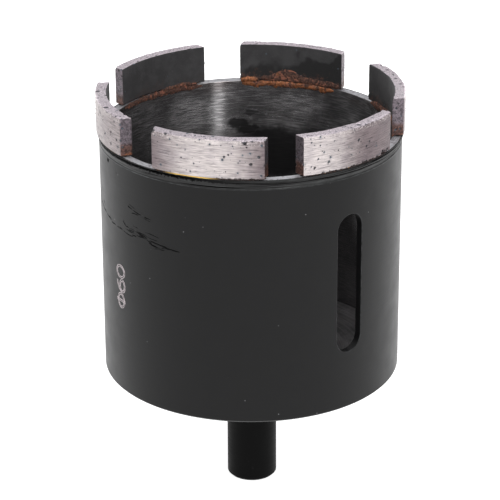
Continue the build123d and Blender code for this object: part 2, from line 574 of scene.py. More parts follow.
def dull_steel(colours, base):
    """Dark turned steel of the weld and of the end plate, whose outer face is painted like the cup."""
    steel = Finish("dull_steel", Specular_IOR_Level=0.4)
    place = steel.place()
    lines = steel.turned(place, 9 * MM, 0.3 * MM, level=False)
    stain = steel.noise(place, 9 * MM, detail=7.0, roughness=0.65)
    bare = steel.shades(lines, 0.35, 0.65, colours.bore, 0.8, 1.2)
    bare = steel.blend(steel.ease(stain, 0.36, 0.66, 0.15, 0.6), bare, tone(35, 35, 35))
    _, _, z = steel.parts(place)
    inside = steel.ease(z, base.plate_bottom + 0.3 * MM, base.plate_bottom + 0.5 * MM)
    steel.set("Base Color", steel.blend(inside, colours.paint, bare))
    steel.set("Metallic", inside * 0.7)
    steel.set("Roughness", steel.between(inside, 0.36, steel.ease(stain, 0.3, 0.7, 0.38, 0.6)))
    steel.set("Normal", steel.bump(lines, 0.006 * MM))
    return steel.material


def satin_shank(colours, base):
    """Satin black on the shank, darker than the cup's paint, with bare steel on its end in the cup."""
    shank = Finish("satin_shank", Specular_IOR_Level=0.07)
    place = shank.place()
    lines = shank.turned(place, 3 * MM, 0.3 * MM)
    rubbed_wear_and_highlight = shank.ease(shank.noise(place, 2.2 * MM, detail=5.0, roughness=0.7), 0.64, 0.76)
    paint = shank.blend(rubbed_wear_and_highlight, colours.shank, lit(colours.shank, 5.0))
    _, _, z = shank.parts(place)
    bare = shank.ease(z, base.plate_bottom + 0.1 * MM, base.plate_bottom + 0.2 * MM)
    shank.set("Base Color", shank.blend(bare, paint, lit(colours.bore, 1.4)))
    shank.set("Metallic", bare * 0.7)
    shank.set("Roughness", shank.ease(lines, 0.3, 0.7, 0.42, 0.54))
    shank.set("Normal", shank.bump(lines, 0.008 * MM))
    return shank.material


def sintered_metal(colours):
    """A segment: ground outside under a painted highlight and painted shade, broken on top, grey at its
    ends, which painted shade darkens, sooty inside, coppery at its foot.
    """
    metal = Finish("sintered_metal", Specular_IOR_Level=0.4, Anisotropic=0.6)
    place = metal.place()
    depth, along, height = metal.parts(metal.attribute("bar_place", "Vector"))
    facing_out, facing_end, facing_up = metal.parts(metal.attribute("bar_facing", "Vector"))
    pit = metal.attribute("pit")
    soil = metal.attribute("soil")
    painted_end_shading = metal.attribute("painted_end_shade")
    seed = metal.attribute("segment_seed")

    streaks = metal.join(along / (3.2 * MM), depth / (1.0 * MM), height / (0.15 * MM))
    lines = metal.noise(streaks, 1.0, detail=3.0, roughness=0.65, seed=seed, distortion=0.2)
    cloud = metal.noise(place, 3.4 * MM, detail=4.0, roughness=0.6)
    grit = metal.noise(place, 0.3 * MM, detail=4.0, roughness=0.7)
    curl = metal.noise(place, 0.55 * MM, detail=3.0, roughness=0.6, distortion=1.2)

    # The ground face, its lines darkest in random clouds and under painted shade
    ground = metal.shades(lines, 0.4, 0.6, colours.ground, 0.62, 1.05)
    ground = metal.blend(metal.ease(cloud, 0.42, 0.7, 0.0, 0.4), ground, lit(colours.sinter, 0.7))
    deep = metal.attribute("painted_shade") * 0.8 + metal.ease(cloud, 0.44, 0.56)
    scratch = metal.maths("MULTIPLY", metal.ease(lines, 0.42, 0.33), deep, clamp=True)
    ground = metal.blend(scratch, ground, tone(96, 88, 92))
    # Painted shade: the ground face darkens away from its painted highlight
    ground = metal.blend(metal.attribute("painted_shade"), ground, tone(152, 142, 146), "MULTIPLY")
    ground = metal.blend(metal.attribute("halo") * 0.35, ground, tone(112, 116, 119))
    # Light grains near the top of the ground face: burnished metal, and partly a painted highlight along
    # the edge that turns up to the light
    crumbs = metal.ease(height, 6.1 * MM, 7.2 * MM) * metal.ease(grit, 0.5, 0.62)
    ground = metal.blend(crumbs * 0.7, ground, lit(colours.ground, 1.15))

    broken = metal.shades(grit, 0.34, 0.62, colours.sinter, 0.6, 1.35)
    ends = metal.shades(curl, 0.38, 0.62, colours.end_face, 0.5, 1.35)
    # Painted shade: each segment's ends are darkened towards near black, by the segment's own amount
    ends = metal.blend(painted_end_shading, tone(26, 23, 24), ends)

    # Copper creeps up from the foot, brown first and bright only at the bottom
    brown = metal.shades(curl, 0.36, 0.64, colours.scale, 0.35, 1.35)
    bright = metal.blend(metal.ease(grit, 0.35, 0.65), colours.scale, lit(colours.copper, 0.8))
    low = height + cloud * (2.4 * MM)
    ends = metal.blend(metal.ease(low, 2.8 * MM, 4.2 * MM, 0.85, 0.0), ends, brown)
    ends = metal.blend(metal.ease(low, 1.2 * MM, 1.7 * MM, 0.7, 0.0), ends, bright)

    # Smoke from the torch lies black over the foot inside, in lobes, and thin above them
    lobes = metal.noise(place, 3.6 * MM, detail=2.0, roughness=0.5)
    thin = metal.shades(cloud, 0.35, 0.7, colours.soot, 0.72, 1.1)
    thin = metal.blend(metal.ease(grit, 0.62, 0.74, 0.0, 0.4), thin, tone(112, 106, 108))
    smoke = lobes * (metal.attribute("smoke") * (9 * MM)) - height
    sooty = metal.blend(metal.ease(smoke, 0.0, 1.6 * MM), thin, lit(colours.soot, 0.28))
    stain = metal.noise(place, 1.9 * MM, detail=5.0, roughness=0.75)
    climb = metal.ease(height, 0.2 * MM, 4.6 * MM, 0.5, 0.74)
    stained = metal.ease(stain - climb, -0.06, 0.1) * metal.attribute("stain")
    sooty = metal.blend(stained, sooty, brown)

    base = metal.blend(metal.ease(facing_up, 0.35, 0.7), ground, broken)
    base = metal.blend(metal.ease(abs(facing_end), 0.72, 0.86), base, ends)
    base = metal.blend(metal.ease(facing_out, -0.5, -0.7), base, sooty)
    dirt = metal.blend(soil, tone(34, 30, 32), tone(84, 96, 106))
    dark = metal.ease(pit, 0.3, 0.8, 0.0, 0.9)
    metal.set("Base Color", metal.blend(dark, base, dirt))

    inside = metal.ease(facing_out, -0.4, -0.7)
    metal.set("Metallic", metal.between(inside, 0.5, 0.0))
    metal.set("Roughness", metal.between(inside, 0.4, 0.66))
    metal.set("Tangent", metal.vector("ADD", metal.outwards(place), (0.0, 0.0, 1.0)))
    relief = metal.bump(lines, 0.05 * MM)
    metal.set("Normal", metal.bump(grit, 0.05 * MM, under=relief))
    return metal.material


def diamond_grain():
    """Grey, glassy diamond grains in a segment's surface."""
    grain = Finish("diamond_grain", Specular_IOR_Level=0.6, Roughness=0.22)
    cloud = grain.noise(grain.place(), 0.5 * MM, detail=1.0)
    grain.set("Base Color", grain.blend(cloud, tone(70, 76, 82), tone(150, 148, 146)))
    return grain.material


def copper_braze(colours):
    """Braze: bright copper and brass where it ran clean, with pale painted highlights on it, brown and
    red oxide over the rest.
    """
    braze = Finish("copper_braze", Specular_IOR_Level=0.4)
    place = braze.place()
    clean = braze.attribute("clean")
    gilt = braze.attribute("gilt")
    cloud = braze.noise(place, 1.5 * MM, detail=5.0, roughness=0.7)
    speck = braze.noise(place, 0.4 * MM, detail=4.0, roughness=0.65)
    metal = braze.shades(speck, 0.35, 0.7, colours.copper, 0.3, 1.0)
    oxide = braze.shades(speck, 0.4, 0.62, colours.scale, 0.35, 1.2)
    red = braze.ease(braze.noise(place, 0.8 * MM, detail=3.0), 0.52, 0.66)
    oxide = braze.blend(red, oxide, tone(134, 84, 66))
    # Painted highlights: pale glints laid on the clean copper
    pale = braze.ease(braze.noise(place, 0.55 * MM, detail=4.0, roughness=0.7), 0.62, 0.7)
    metal = braze.blend(pale, metal, tone(214, 178, 140))
    black = braze.ease(clean, 0.0, 0.15, 0.85, 0.0)
    oxide = braze.blend(black, oxide, tone(30, 27, 27))
    shown = braze.ease(cloud - braze.between(clean, 0.72, 0.3), -0.04, 0.1)
    base = braze.blend(shown, oxide, metal)
    flecks = braze.ease(cloud, 0.6, 0.66) * braze.ease(clean, 0.02, 0.1, 0.8, 0.0)
    base = braze.blend(flecks, base, tone(206, 150, 84))
    braze.set("Base Color", braze.blend(gilt, base, tone(238, 200, 112)))
    braze.set("Metallic", braze.between(shown, 0.0, 0.5))
    braze.set("Roughness", braze.between(shown, 0.75, 0.42))
    braze.set("Normal", braze.bump(speck, 0.08 * MM))
    return braze.material


def pale_print(colours):
    """The thin pale print of the size mark, worn in places."""
    ink = Finish("pale_print", Roughness=0.6, Specular_IOR_Level=0.2)
    worn_print_and_edge_highlight = ink.ease(ink.noise(ink.place(), 0.4 * MM, detail=3.0), 0.36, 0.56)
    ink.set("Base Color", ink.blend(worn_print_and_edge_highlight, lit(colours.mark, 0.55), colours.mark))
    return ink.material


# Meshes


def place_noise(points, cell, seed):
    """Smooth noise from -1 to 1 at points, one lump to a cell, the same for the same seed."""
    scaled = np.asarray(points, float) / cell
    corner = np.floor(scaled).astype(np.int64)
    ease = scaled - corner
    ease = ease * ease * (3 - 2 * ease)
    total = np.zeros(len(scaled))
    for step in np.ndindex(2, 2, 2):
        # Each corner of a cell has a chance number, hashed from its place and the seed
        lattice = corner + step
        number = lattice @ np.array((73856093, 19349663, 83492791)) + seed * 2654435761
        number = (number ^ (number >> 13)) * 1274126177 & 0xFFFFFFFF
        number = (number ^ (number >> 16)) & 0xFFFF
        weight = np.where(step, ease, 1 - ease).prod(axis=1)
        total += weight * (number / 0x8000 - 1)
    return total


def spaced(stops, steps):
    """Values that step evenly from each stop to the next, and end with the last one."""
    runs = [np.linspace(a, b, n, endpoint=False) for a, b, n in zip(stops, stops[1:], steps)]
    return np.concatenate([*runs, [stops[-1]]])


# How far from a corner the ring lies that holds its rounding, and how far in from the corner the
# middle of the rounding lies, both in radii of the edge
HOLD = 1.6
CORNER_SHARE = 0.29


def broken_edges(corners, radius, steps=4):
    """An open run of points through corners, each inner corner rounded and held by close rings."""
    points = [np.array(corners[0], float)]
    for before, corner, after in zip(corners, corners[1:], corners[2:]):
        corner = np.array(corner, float)
        back = np.array(before) - corner
        ahead = np.array(after) - corner
        back /= np.linalg.norm(back)
        ahead /= np.linalg.norm(ahead)
        points.append(corner + back * radius * HOLD)
        for t in np.linspace(0, 1, steps + 1):
            points.append(corner + radius * ((1 - t) ** 2 * back + t**2 * ahead))
        points.append(corner + ahead * radius * HOLD)
    points.append(np.array(corners[-1], float))
    return np.array(points)


def swept_round(profile, angles):
    """A grid of points: one row for each radius and height of a profile, one column for each angle."""
    turn = np.radians(angles)
    radius = profile[:, 0, None]
    height = np.broadcast_to(profile[:, 1, None], (len(profile), len(angles)))
    return np.stack((radius * np.cos(turn), radius * np.sin(turn), height), -1)


class Skin:
    """Patches of quads that are gathered into one closed mesh."""

    def __init__(self):
        self.points = []
        self.quads = []
        self.finishes = []
        self.count = 0

    def patch(self, grid, finish=0, keep=None):
        """Add a grid of points. Finish is one number or one for each quad, and keep picks quads."""
        rows, columns = grid.shape[:2]
        index = np.arange(rows * columns).reshape(rows, columns) + self.count
        corners = (index[:-1, :-1], index[:-1, 1:], index[1:, 1:], index[1:, :-1])
        quads = np.stack(corners, -1).reshape(-1, 4)
        finish = np.broadcast_to(finish, (rows - 1, columns - 1)).reshape(-1)
        if keep is not None:
            quads = quads[keep.reshape(-1)]
            finish = finish[keep.reshape(-1)]
        self.points.append(grid.reshape(-1, 3))
        self.quads.append(quads)
        self.finishes.append(finish)
        self.count += rows * columns

    def piece(self, name, materials):
        """Merge the patches, turn their faces outwards and return the new object."""
        mesh = bpy.data.meshes.new(name)
        mesh.from_pydata(np.concatenate(self.points), [], np.concatenate(self.quads))
        for material in materials:
            mesh.materials.append(material)
        mesh.polygons.foreach_set("material_index", np.concatenate(self.finishes).astype(np.int32))
        work = bmesh.new()
        work.from_mesh(mesh)
        loose = [vert for vert in work.verts if not vert.link_faces]
        bmesh.ops.delete(work, geom=loose, context="VERTS")
        bmesh.ops.remove_doubles(work, verts=work.verts, dist=0.001 * MM)
        bmesh.ops.dissolve_degenerate(work, edges=work.edges, dist=0.0002 * MM)
        bmesh.ops.recalc_face_normals(work, faces=work.faces)
        for face in work.faces:
            face.smooth = True
        work.to_mesh(mesh)
        work.free()
        return linked(name, mesh)


def linked(name, mesh):
    """A new object in the scene that shows a mesh."""
    piece = bpy.data.objects.new(name, mesh)
    bpy.context.scene.collection.objects.link(piece)
    return piece


def read_points(mesh):
    points = np.empty(len(mesh.vertices) * 3)
    mesh.vertices.foreach_get("co", points)
    return points.reshape(-1, 3)


def write_points(mesh, points):
    mesh.vertices.foreach_set("co", points.reshape(-1).astype(np.float32))
    mesh.update()


def write_attribute(mesh, name, values):
    mesh.attributes.new(name, "FLOAT", "POINT").data.foreach_set("value", values.astype(np.float32))


def finished(piece, slot, *nodes):
    """Tie a piece to the frame's body and hide the plain solids that it stands for. The slot argument is
    not used.
    """
    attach(piece, "root")
    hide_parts(*nodes)


# Cup


# How far the rings round a slot lie from its edge. The first is past the window, so it follows the
# window's border
RING_OFFSETS = (1.0, 2.6 * MM, 1.6 * MM, 0.9 * MM, 0.45 * MM)


def slot_rings(cup, angles, levels, centre):
    """Rings of points round one slot: in over the wall, through it, and out over the bore.

    The outermost rings lie on the border of a window in the wall's own grid, so they merge with it.
    """
    low, high = levels[0], levels[-1]
    left, right = angles[0], angles[-1]
    border = [(a, low) for a in angles[:-1]] + [(right, z) for z in levels[:-1]]
    border += [(a, high) for a in angles[:0:-1]] + [(left, z) for z in levels[::-1]]
    turn = np.radians(np.array([a for a, z in border]) - centre)
    height = np.array([z for a, z in border])
    half = cup.slot_width / 2
    middle = np.clip(height, *slot_centres(cup))
    across = cup.outer * np.sin(turn)
    reach = np.hypot(across, height - middle)
    outline = np.stack((across / reach * half, middle + (height - middle) / reach * half), -1)

    def over(radius, offset):
        """Points on a wall, an offset out from the slot's outline, or on the window's border."""
        rim = np.stack((radius * np.sin(turn), height), -1)
        gap = np.linalg.norm(rim - outline, axis=1, keepdims=True)
        flat = outline + (rim - outline) * np.minimum(offset / gap, 1)
        return np.column_stack((np.sqrt(radius**2 - flat[:, 0] ** 2), flat))

    def through(radius, depth):
        """Points on the slot's own side, a depth in from a wall."""
        return np.column_stack((np.sqrt(radius**2 - outline[:, 0] ** 2) - depth, outline))

    edge = cup.edge
    offsets = (*RING_OFFSETS, edge * HOLD, edge)
    rings = [over(cup.outer, offset) for offset in offsets]
    corner = over(cup.outer, edge * CORNER_SHARE)
    corner[:, 0] -= edge * CORNER_SHARE
    rings.append(corner)
    rings.append(through(cup.outer, edge))
    for step in (0.25, 0.5, 0.75):
        rings.append((1 - step) * through(cup.outer, edge) + step * through(cup.inner, -edge))
    rings.append(through(cup.inner, -edge))
    corner = over(cup.inner, edge * CORNER_SHARE)
    corner[:, 0] += edge * CORNER_SHARE
    rings.append(corner)
    rings += [over(cup.inner, offset) for offset in offsets[::-1]]
    rings = np.array(rings)
    turned = math.radians(centre)
    x = rings[..., 0] * math.cos(turned) - rings[..., 1] * math.sin(turned)
    y = rings[..., 0] * math.sin(turned) + rings[..., 1] * math.cos(turned)
    return np.stack((x, y, rings[..., 2]), -1)


# Scuffs in the paint: stops of angle in degrees and height in millimetres, then the width in
# millimetres and the strength
SCUFFS = (
    (((-90.9, 66.1), (-87.9, 65.7), (-84.7, 65.4), (-78.8, 65.2)), 0.1, 1.0),
    (((-88.7, 65.0), (-84.4, 65.2), (-79.2, 64.8)), 0.09, 0.9),
    (((-90.0, 66.6), (-86.5, 66.1)), 0.08, 0.7),
    (((-121.5, 64.9), (-119.0, 63.6), (-117.7, 62.5)), 0.11, 0.8),
    (((-117.7, 62.5), (-112.8, 61.7), (-109.1, 61.6), (-105.4, 61.1)), 0.11, 0.9),
    (((-113.2, 63.2), (-111.5, 62.6)), 0.15, 0.8),
    (((-106.3, 61.3), (-104.6, 61.0)), 0.2, 0.9),
    (((-103.6, 60.7), (-95.2, 60.6), (-86.8, 60.6)), 0.11, 1.0),
    (((-98.0, 60.9), (-92.0, 60.3), (-88.5, 60.3)), 0.09, 0.9),
    (((-94.5, 62.5), (-92.5, 61.9), (-85.2, 61.6), (-78.1, 60.8), (-71.7, 60.4)), 0.11, 1.0),
    (((-93.5, 61.3), (-88.0, 61.1), (-82.0, 60.9)), 0.08, 0.9),
    (((-90.5, 61.5), (-84.0, 61.2), (-78.5, 60.5)), 0.09, 0.9),
    (((-88.1, 62.6), (-79.3, 62.2), (-75.1, 62.0)), 0.08, 0.8),
    (((-86.0, 61.9), (-80.5, 61.5), (-76.0, 61.2)), 0.08, 0.8),
    (((-79.5, 60.3), (-75.5, 60.0), (-71.7, 60.2), (-66.1, 60.0)), 0.15, 1.0),
    (((-77.5, 59.7), (-72.6, 59.7)), 0.09, 0.8),
    (((-107.0, 72.9), (-105.5, 72.8)), 0.14, 0.8),
    (((-99.5, 71.6), (-98.6, 71.6)), 0.11, 0.7),
)

# The part of the wall that the scuffs lie on, and how far inside its radius a point still counts
SCUFFED_ANGLES = (240.0, 298.0)
SCUFFED_LEVELS = (58.8 * MM, 67.0 * MM)
ON_WALL = 0.05 * MM


def scuff_field(points, cup):
    """How deeply each point is scuffed and how far a lip stands up beside it, both from 0 to 1."""
    angle = np.arctan2(points[:, 1], points[:, 0])
    along = angle * cup.outer / MM
    height = points[:, 2] / MM
    wander = place_noise(points, 1.3 * MM, seed=3) * 0.16 + place_noise(points, 0.4 * MM, seed=5) * 0.05
    broken = 0.85 + 0.8 * place_noise(points * (0.16, 0.16, 1.0), 0.26 * MM, seed=4)
    broken += 0.4 * place_noise(points, 0.5 * MM, seed=6)
    groove = np.zeros(len(points))
    lip = np.zeros(len(points))
    for run, width, strength in SCUFFS:
        stops = [(math.radians(a) * cup.outer / MM, z) for a, z in run]
        for (x0, z0), (x1, z1) in zip(stops, stops[1:]):
            length = math.hypot(x1 - x0, z1 - z0)
            t = np.clip(((along - x0) * (x1 - x0) + (height - z0) * (z1 - z0)) / length**2, 0, 1)
            gap = np.hypot(along - x0 - t * (x1 - x0), height - z0 - t * (z1 - z0) + wander) / width
            groove = np.maximum(groove, strength * np.exp(-(gap**2)))
            lip = np.maximum(lip, strength * np.exp(-(((gap - 1.8) / 0.7) ** 2)))
    outside = np.hypot(points[:, 0], points[:, 1]) > cup.outer - ON_WALL
    return np.clip(groove * broken, 0, 1) * outside, lip * np.clip(broken, 0, 1) * outside


def refine_scuffed(mesh, cup):
    """Divide the quads of the outer wall where it is scuffed, and put the new points on the wall."""
    work = bmesh.new()
    work.from_mesh(mesh)
    first, last = SCUFFED_ANGLES
    low, high = SCUFFED_LEVELS
    faces = []
    for face in work.faces:
        x, y, z = face.calc_center_median()
        turn = math.degrees(math.atan2(y, x)) % 360
        on_wall = math.hypot(x, y) > cup.outer - ON_WALL
        if on_wall and first < turn < last and low < z < high:
            faces.append(face)
    edges = {edge for face in faces for edge in face.edges}
    made = bmesh.ops.subdivide_edges(work, edges=list(edges), cuts=2, use_grid_fill=True)
    for vert in made["geom_inner"]:
        if isinstance(vert, bmesh.types.BMVert):
            vert.co.xy = vert.co.xy.normalized() * cup.outer
    for face in work.faces:
        face.smooth = True
    work.to_mesh(mesh)
    work.free()


# Each slot's rings fill a window in the wall's grid: half the window's width, and how far it reaches
# past the slot's ends
WINDOW_HALF = 6.4 * MM
WINDOW_MARGIN = 3.4 * MM

# The angle at which the wall's grid closes, then the quads between its stops, round it and up it
WALL_START = 60.0
QUADS_ROUND = (54, 22, 26, 116, 28, 22, 24)
QUADS_UP = (7, 20, 34, 4, 6)
BAND_LEVELS = 30


def wall_profile(cup, levels):
    """Round the wall's section: its points, the finish of each row of quads, and where the outer
    wall and the bore start."""
    edge = cup.edge
    band_bottom = cup.rim_top - cup.band_height
    base_corners = [
        (cup.inner, cup.base + 0.3 * MM),
        (cup.inner, cup.base),
        (cup.outer - cup.base_chamfer, cup.base),
        (cup.outer, cup.base + cup.base_chamfer),
        (cup.outer, levels[0]),
    ]
    base_run = broken_edges(base_corners, 0.07 * MM)
    outer_run = np.column_stack((np.full(len(levels), cup.outer), levels))
    band_levels = np.linspace(band_bottom + 0.04 * MM, cup.rim_top - edge * 1.8, BAND_LEVELS)
    band_share = (band_levels - band_bottom) / cup.band_height
    band_radii = cup.outer - cup.band_depth + band_share * (cup.band_depth + cup.rim_flare)
    ledge = np.array([(cup.outer, band_bottom - 0.03 * MM), (cup.outer - 0.03 * MM, band_bottom)])
    band_run = np.concatenate((ledge, np.column_stack((band_radii, band_levels))))
    rim_corners = [
        tuple(band_run[-1]),
        (cup.outer + cup.rim_flare, cup.rim_top),
        (cup.inner, cup.rim_top),
        (cup.inner, cup.rim_top - edge * 4),
    ]
    rim_run = broken_edges(rim_corners, edge)[1:]
    bore_run = np.column_stack((np.full(len(levels), cup.inner), levels))[::-1]
    profile = np.concatenate((base_run, outer_run[1:], band_run, rim_run, bore_run, base_run[:1]))

    # Each row of quads takes the finish of the stretch that it lies on
    first_outer = len(base_run) - 1
    first_band = first_outer + len(levels) - 1
    first_bore = first_band + 1 + len(band_run) + len(rim_run)
    middle = (profile[:-1] + profile[1:]) / 2
    finish = np.full(len(middle), PAINT)
    finish[first_band:] = BAND
    finish[(middle[:, 1] > cup.rim_top - 0.5 * edge) & (middle[:, 0] > cup.inner)] = RIM
    finish[(middle[:, 0] < cup.inner + 0.5 * edge) & (middle[:, 1] > cup.base)] = BORE
    return profile, finish, first_outer, first_bore


def make_barrel(cup, materials):
    """The cup's wall with its slots, turned band, ground rim and bare bore, as one closed skin."""
    window = math.degrees(math.asin(WINDOW_HALF / cup.outer))
    slots = (180 - window, 180 + window, *SCUFFED_ANGLES, 360 - window, 360 + window)
    angles = spaced((WALL_START, *slots, WALL_START + 360), QUADS_ROUND)
    wall_low = cup.base + 2 * cup.base_chamfer
    window_low = cup.base + cup.slot_from_base - WINDOW_MARGIN
    window_high = cup.base + cup.slot_from_base + cup.slot_length + WINDOW_MARGIN
    wall_high = cup.rim_top - cup.band_height - cup.edge
    levels = spaced((wall_low, window_low, *SCUFFED_LEVELS, window_high, wall_high), QUADS_UP)
    profile, finish, first_outer, first_bore = wall_profile(cup, levels)

    keep = np.ones((len(profile) - 1, len(angles) - 1), bool)
    skin = Skin()
    window_levels = levels[(levels > window_low - TINY) & (levels < window_high + TINY)]
    low_row = int(np.searchsorted(levels, window_low - TINY))
    high_row = low_row + len(window_levels) - 1
    for slot in range(SLOT_COUNT):
        centre = 360.0 - 360.0 / SLOT_COUNT * slot
        columns = np.where(np.abs(angles - centre) < window + TINY)[0]
        first, last = columns[0], columns[-1]
        keep[first_outer + low_row : first_outer + high_row, first:last] = False
        bore_low = first_bore + len(levels) - 1 - high_row
        bore_high = first_bore + len(levels) - 1 - low_row
        keep[bore_low:bore_high, first:last] = False
        rings = slot_rings(cup, angles[columns], window_levels, centre)
        reach = np.hypot(rings[..., 0], rings[..., 1]).max(axis=1)
        inside = (reach[:-1] + reach[1:]) / 2 < cup.inner + 1.5 * cup.edge
        skin.patch(rings, np.where(inside, BORE, PAINT)[:, None])
    skin.patch(swept_round(profile, angles), finish[:, None], keep)
    piece = skin.piece("cup_barrel", materials)
    refine_scuffed(piece.data, cup)
    roughen_wall(piece.data, cup)
    return piece


def roughen_wall(mesh, cup):
    """Press the scuffs into the wall, and give the band its tool marks and the rim its burr."""
    points = read_points(mesh)
    groove, lip = scuff_field(points, cup)
    radius = np.hypot(points[:, 0], points[:, 1])
    above_ledge = points[:, 2] > cup.rim_top - cup.band_height + 0.1 * MM
    band = above_ledge & (radius > cup.outer - 0.3 * MM)
    tool_marks = place_noise(points * (0.12, 0.12, 1.0), 0.14 * MM, seed=11)
    tool_marks += place_noise(points * (0.3, 0.3, 1.0), 0.3 * MM, seed=13)
    burr = place_noise(points, 0.4 * MM, seed=12) * (points[:, 2] > cup.rim_top - 0.3 * MM)
    outwards = (tool_marks * cup.tool_mark + burr * cup.rim_burr) * band
    outwards += (0.4 * lip - groove) * cup.scuff_depth
    points[:, :2] *= (1 + outwards / radius)[:, None]
    write_points(mesh, points)
    write_attribute(mesh, "scuff", groove)


class CORE_BIT_OT_barrel(bpy.types.Operator):
    """Make the cup's slotted wall"""

    bl_idname = "core_bit.barrel"
    bl_label = "Cup Barrel"

    def execute(self, context):
        cup = context.scene.core_bit_cup
        colours = context.scene.core_bit_colours
        materials = (
            satin_paint(colours, cup),
            turned_band(colours, cup),
            ground_rim(colours, cup),
            turned_bore(colours, cup),
        )
        finished(make_barrel(cup, materials), "barrel_paint", "barrel")
        return {"FINISHED"}


# End plate, weld and shank


def make_turned(name, corners, radius, materials, angle_count=192):
    """A turned piece from the corners of its half section, which ends on the axis or closes."""
    run = broken_edges(corners, radius)
    skin = Skin()
    skin.patch(swept_round(run, np.linspace(0, 360, angle_count + 1)))
    return skin.piece(name, materials)


class CORE_BIT_OT_base(bpy.types.Operator):
    """Make the end plate, the weld round it and the shank"""

    bl_idname = "core_bit.base"
    bl_label = "Plate, Weld and Shank"

    def execute(self, context):
        base = context.scene.core_bit_base
        colours = context.scene.core_bit_colours
        steel = dull_steel(colours, base)

        bore = base.spigot_radius
        middle = (bore + base.plate_radius) / 2
        plate_corners = [
            (middle, base.plate_bottom),
            (base.plate_radius, base.plate_bottom),
            (base.plate_radius, base.plate_top),
            (bore, base.plate_top),
            (bore, base.plate_bottom),
            (middle, base.plate_bottom),
        ]
        plate = make_turned("end_plate_disc", plate_corners, base.edge, [steel])
        finished(plate, "plate_steel", "end_plate")

        foot = base.plate_radius - base.weld_width
        middle = (foot + base.plate_radius) / 2
        belly = (base.plate_top + base.weld_top) / 2 + base.weld_belly
        weld_corners = [
            (middle, base.plate_top),
            (foot, base.plate_top),
            (base.plate_radius - 0.9 * base.weld_width / 2, belly),
            (base.plate_radius, base.weld_top),
            (base.plate_radius, base.plate_top),
            (middle, base.plate_top),
        ]
        weld = make_turned("weld_bead", weld_corners, base.edge, [steel], angle_count=360)
        points = read_points(weld.data)
        margin = 0.1 * MM
        raised = (points[:, 2] > base.plate_top + margin) & (points[:, 2] < base.weld_top - margin)
        points[:, 2] += raised * place_noise(points, 1.2 * MM, seed=21) * base.weld_ripple
        write_points(weld.data, points)
        finished(weld, "plate_steel", "weld_ring")

        shank_corners = [
            (0, SHANK_LOW.z),
            (base.shank_radius - base.shank_chamfer, SHANK_LOW.z),
            (base.shank_radius, SHANK_LOW.z + base.shank_chamfer),
            (base.shank_radius, base.plate_bottom),
            (base.spigot_radius, base.plate_bottom),
            (base.spigot_radius, base.plate_top),
            (0, base.plate_top),
        ]
        shank = make_turned("plain_shank", shank_corners, base.edge, [satin_shank(colours, base)])
        finished(shank, "shank_paint", "shank")
        return {"FINISHED"}


# Shapes that repeat


def shape_tree(name, kinds, numbers):
    """A geometry tree with inputs of named kinds and plain numbers. Returns its graph and inputs."""
    tree = bpy.data.node_groups.new(name, "GeometryNodeTree")
    tree.interface.new_socket("Geometry", in_out="OUTPUT", socket_type="NodeSocketGeometry")
    kinds = {**kinds, **dict.fromkeys(numbers, "Float")}
    for label, kind in kinds.items():
        tree.interface.new_socket(label, in_out="INPUT", socket_type=f"NodeSocket{kind}")
    graph = Graph(tree)
    given = tree.nodes.new("NodeGroupInput")
    return graph, {label: Value(graph, given.outputs[label]) for label in kinds}


def end_tree(graph, geometry, material, selection=None):
    """End a geometry tree in real geometry with its material, on all of it or on a selection."""
    real = graph.add("GeometryNodeRealizeInstances", {"Geometry": geometry})
    inputs = {"Geometry": real, "Selection": selection, "Material": material}
    dressed = graph.add("GeometryNodeSetMaterial", inputs)
    graph.add("NodeGroupOutput", {0: dressed}, output=None)


def grown(name, graph, values, source=None):
    """Run a geometry tree on an object and return the result as a plain mesh piece."""
    piece = source or linked(name, bpy.data.meshes.new(name))
    modifier = piece.modifiers.new("Shape", "NODES")
    modifier.node_group = graph.tree
    sockets = {item.name: item.identifier for item in graph.tree.interface.items_tree}
    for label, value in values.items():
        modifier[sockets[label]] = value
    graph_now = bpy.context.evaluated_depsgraph_get()
    mesh = bpy.data.meshes.new_from_object(
        piece.evaluated_get(graph_now), preserve_all_data_layers=True, depsgraph=graph_now
    )
    bpy.data.objects.remove(piece)
    mesh.name = name
    return linked(name, mesh)


def grains_in(graph, bar, given):
    """Diamond grains that stand in the ground face and the cutting face of a bar."""
    seed = given["Seed"]
    out, _, up = graph.parts(graph.kept("bar_facing", "FLOAT_VECTOR"))
    bare = graph.maths("GREATER_THAN", graph.maths("MAXIMUM", out, up), 0.6)
    scatter = {"Mesh": bar, "Selection": bare, "Density": given["Grain Density"], "Seed": seed}
    points = graph.add("GeometryNodeDistributePointsOnFaces", scatter)
    crystal = graph.add("GeometryNodeMeshIcoSphere", {"Radius": 0.5, "Subdivisions": 1})
    crystal = graph.keep(crystal, "grain", 1.0, "FLOAT")
    sizes = {"Min": (0.25, 0.25, 0.2), "Max": (1.0, 1.0, 0.8), "Seed": seed}
    sizes = graph.add("FunctionNodeRandomValue", sizes, data_type="FLOAT_VECTOR")
    turns = {"Min": (0.0, 0.0, 0.0), "Max": (math.tau, math.tau, math.tau), "Seed": seed}
    turns = graph.add("FunctionNodeRandomValue", turns, data_type="FLOAT_VECTOR")
    grains = {"Points": points, "Instance": crystal, "Rotation": turns}
    grains["Scale"] = graph.scaled(sizes, given["Grain Size"])
    return graph.add("GeometryNodeInstanceOnPoints", grains)


# How a segment is worn and painted with light and shade, and the unit of each measure: wear of all its
# edges and of its cutting face's edges, how far that leans along the segment, how far the painted shade
# on its ends leaves them light, the place of the painted highlight on its ground face and how far it
# spreads before painted shade takes over, then the smoke and the stains inside
WEAR_AND_LIGHT_UNITS = {
    "Edge Wear": MM,
    "Top Wear": MM,
    "Lean": 1.0,
    "Painted End Shade": 1.0,
    "Painted Highlight Place": MM,
    "Painted Highlight Spread": MM,
    "Smoke": 1.0,
    "Stain": 1.0,
}

